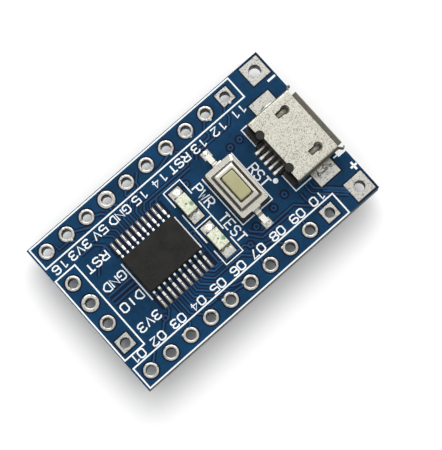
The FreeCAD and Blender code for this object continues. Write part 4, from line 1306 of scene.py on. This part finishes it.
def copper(name, tracks, vias, level, outward):
    """Dark gaps and light ridges along the tracks, and a ridged ring at each filled hole."""
    tracks = stopped_at_pads(tracks)
    wide_rings = [ring(x, y, 0.37) for x, y in vias]
    dark_dots = [ring(x, y, 0.07, corners=8) for x, y in vias]
    light_rings = [ring(x, y, 0.24) for x, y in vias]
    gaps = [
        drawn_lines("gaps", tracks, GAP_WIDTH, level, 0.006),
        drawn_lines("moats", wide_rings, 0.26, level, 0.007),
        drawn_lines("pits", dark_dots, 0.12, level + 0.012 * outward, 0.010),
    ]
    ridges = [
        drawn_lines("ridges", tracks, TRACK_WIDTH, level + 0.002 * outward, 0.016),
        drawn_lines("rings", light_rings, 0.13, level + 0.002 * outward, 0.018),
    ]
    hand_over(gather(name + "_gaps", gaps), LACQUER_DARK, "blue_solder_mask")
    hand_over(gather(name + "_tracks", ridges), LACQUER_TRACK, "blue_solder_mask")


copper("top", TRACKS, VIAS, LACQUER_TOP, 1)
bare = [
    drawn_lines("outlines", clearances(), CLEAR, LACQUER_TOP, 0.005),
    drawn_lines("lead_gaps", lead_gaps(), 0.33, LACQUER_TOP, 0.005),
]
hand_over(gather("top_clearances", bare), LACQUER_DARK, "blue_solder_mask")
copper("under", UNDER_TRACKS, UNDER_VIAS, LACQUER_UNDER, -1)


# %% [markdown]
# ## Finishes for the CAD's own parts
#
# Many parts are already the right shape: the board, the lacquer sheets, pads, contacts, chips.
# They keep their CAD mesh and get a finish, and the solid ones get live Weld and Bevel modifiers,
# because no real edge is perfectly sharp and a thin bright line along an edge is what tells the
# eye that a part is solid. Remaking them would give the same shapes for more work.

# %% Dress the CAD parts
def dress(node, finish, soft=0.0):
    """Give a CAD part its finish, and ease its edges by soft millimetres."""
    part = frame["nodes"][node]
    for place in part.material_slots:
        place.link = "OBJECT"
        place.material = finish
    if soft:
        weld = part.modifiers.new("weld", "WELD")
        weld.merge_threshold = 0.0005 * MM
        bevel = part.modifiers.new("eased_edges", "BEVEL")
        bevel.width, bevel.segments = soft * MM, 2
        bevel.limit_method, bevel.angle_limit = "ANGLE", math.radians(40)
        bevel.harden_normals = True


DRESSED = {
    "printed_circuit_board": (GLASS_CLOTH, 0), "top_solder_mask": (LACQUER_BLUE, 0),
    "bottom_solder_mask": (LACQUER_BLUE, 0), "chip_pads": (DULL_TIN, 0.015), "chip_paddle": (BRONZE, 0),
    "chip_die": (SILICON, 0), "usb_insulator": (BLACK_NYLON, 0.03), "usb_contacts": (CONTACT, 0.02),
    "usb_signal_pads": (DULL_TIN, 0.015), "usb_anchor_pads": (TIN, 0.02), "reset_case": (BLACK_NYLON, 0.05),
    "reset_dome": (BRONZE, 0), "reset_terminals": (CONTACT, 0.02), "reset_pads": (TIN, 0.015),
    "regulator_package": (BLACK_PACKAGE, 0.05), "regulator_leads": (LEAD_TIN, 0.03),
    "regulator_tab": (LEAD_TIN, 0.03), "regulator_pads": (TIN, 0.015), "chip_part_pads": (TIN, 0.015),
}
for light in ("power_light", "test_light"):
    DRESSED[light + "_base"] = (WHITE_CORE, 0.015)
    DRESSED[light + "_terminals"] = (TIN, 0.012)
    DRESSED[light + "_die"] = (SILICON, 0)
    DRESSED[light + "_pads"] = (TIN, 0.015)
CAPACITORS = [
    "input_capacitor", "output_capacitor", "core_capacitor", "supply_capacitor", "reset_capacitor",
]
RESISTORS = ["reset_resistor", "power_light_resistor", "test_light_resistor"]
for part in CAPACITORS + RESISTORS:
    DRESSED[part + "_body"] = (TAN_CERAMIC if part in CAPACITORS else WHITE_CERAMIC, 0.03)
    DRESSED[part + "_terminals"] = (TIN, 0.03)
for part in RESISTORS:
    DRESSED[part + "_film"] = (BLACK_FILM, 0.01)
for node, (finish, soft) in DRESSED.items():
    dress(node, finish, soft)
print(len(DRESSED), "CAD parts dressed")


# %% [markdown]
# ## Resin of the lights
#
# Clear resin is cast over the whole top of each light, and painted shade darkens its four corners,
# where the ends of the body meet the pads. The resin is a block with softened edges; the shade is
# four short round dark pegs that end just under its top. Pegs are kept as a piece of their own,
# so that they keep their finish.

# %% Light resins
def light_resins():
    """Resin over the whole length of each light, and four dark pegs of painted shade in its corners."""
    for light, resin in (("power_light", POWER_RESIN), ("test_light", TEST_RESIN)):
        low, high = corners_of(light + "_lens")
        _, end = corners_of(light + "_terminals")
        middle = (low + high) / 2
        across, along = (high.x - low.x) / 2, end.y - middle.y - 0.02
        cast = block("resin", (middle.x - across, middle.y - along, low.z),
                     (middle.x + across, middle.y + along, high.z))
        ease_edges(cast, 0.06, segments=3)
        hand_over(gather(light + "_resin", [cast]), resin, "light_resin", light + "_lens")
        # Four dark pegs of painted shade, where the ends of the body meet the pads.
        shade_pegs = [
            put(turned("mark", [(0.13, SEAT), (0.10, high.z - 0.02)], sides=16),
                (middle.x + across * 0.78 * x, middle.y + (along + 0.02) * y, 0))
            for x in (-1, 1) for y in (-1, 1)
        ]
        hand_over(gather(light + "_flux", shade_pegs), BLACK_FILM, "light_substrate")


light_resins()


# %% [markdown]
# ## Solder on the small parts
#
# Solder wets a pad and climbs the end of the part, leaving a slope between the two. Every light,
# button terminal, chip capacitor and resistor gets such a slope at each end. One mound is made
# for each size of end and copied to both ends.

# %% Solder at the ends of the small parts
def ends_soldered(name, node, along, length, height, seat, side, width=0.9):
    """Slopes at both ends of the node: along is the axis (0 for X, 1 for Y) that its ends face."""
    low, high = corners_of(node)
    middle, reach = (low + high) / 2, (high - low) / 2
    across = reach[1 - along] * 2 * width
    slope = solder_mound(name, length, across, height, peak=0.35, smooth=2, lean=-length / 2)
    slopes = []
    for way in (-1, 1):
        spot = Vector((middle.x, middle.y, seat))
        spot[along] += (reach[along] + length / 2 - 0.03) * way
        turn = 90 * along * way + 90 * (1 - along) * (1 - way)
        slopes.append(another(slope, spot, turn, 0 if side == TOP else 180))
    scrap(slope)
    return slopes


def light_solder():
    slopes = []
    for light in ("power_light", "test_light"):
        slopes += ends_soldered("slope", light + "_terminals", 1, 0.92, 0.15, SEAT - 0.01, TOP, 0.92)
    hand_over(gather("light_solder", slopes), SOLDER, "tinned_copper")


def button_solder():
    slopes = ends_soldered("slope", "reset_terminals", 1, 0.6, 0.10, SEAT - 0.01, TOP, 1.0)
    hand_over(gather("button_solder", slopes), SOLDER, "tinned_copper")


def underside_solder():
    slopes = []
    for part in CAPACITORS + RESISTORS:
        height = 0.5 if part in CAPACITORS else 0.3
        ends = part + "_terminals"
        slopes += ends_soldered("slope", ends, 0, 0.6, height, SEAT_UNDER + 0.01, UNDERSIDE, 0.95)
    hand_over(gather("underside_solder", slopes), SOLDER, "tinned_copper")


light_solder()
button_solder()
underside_solder()
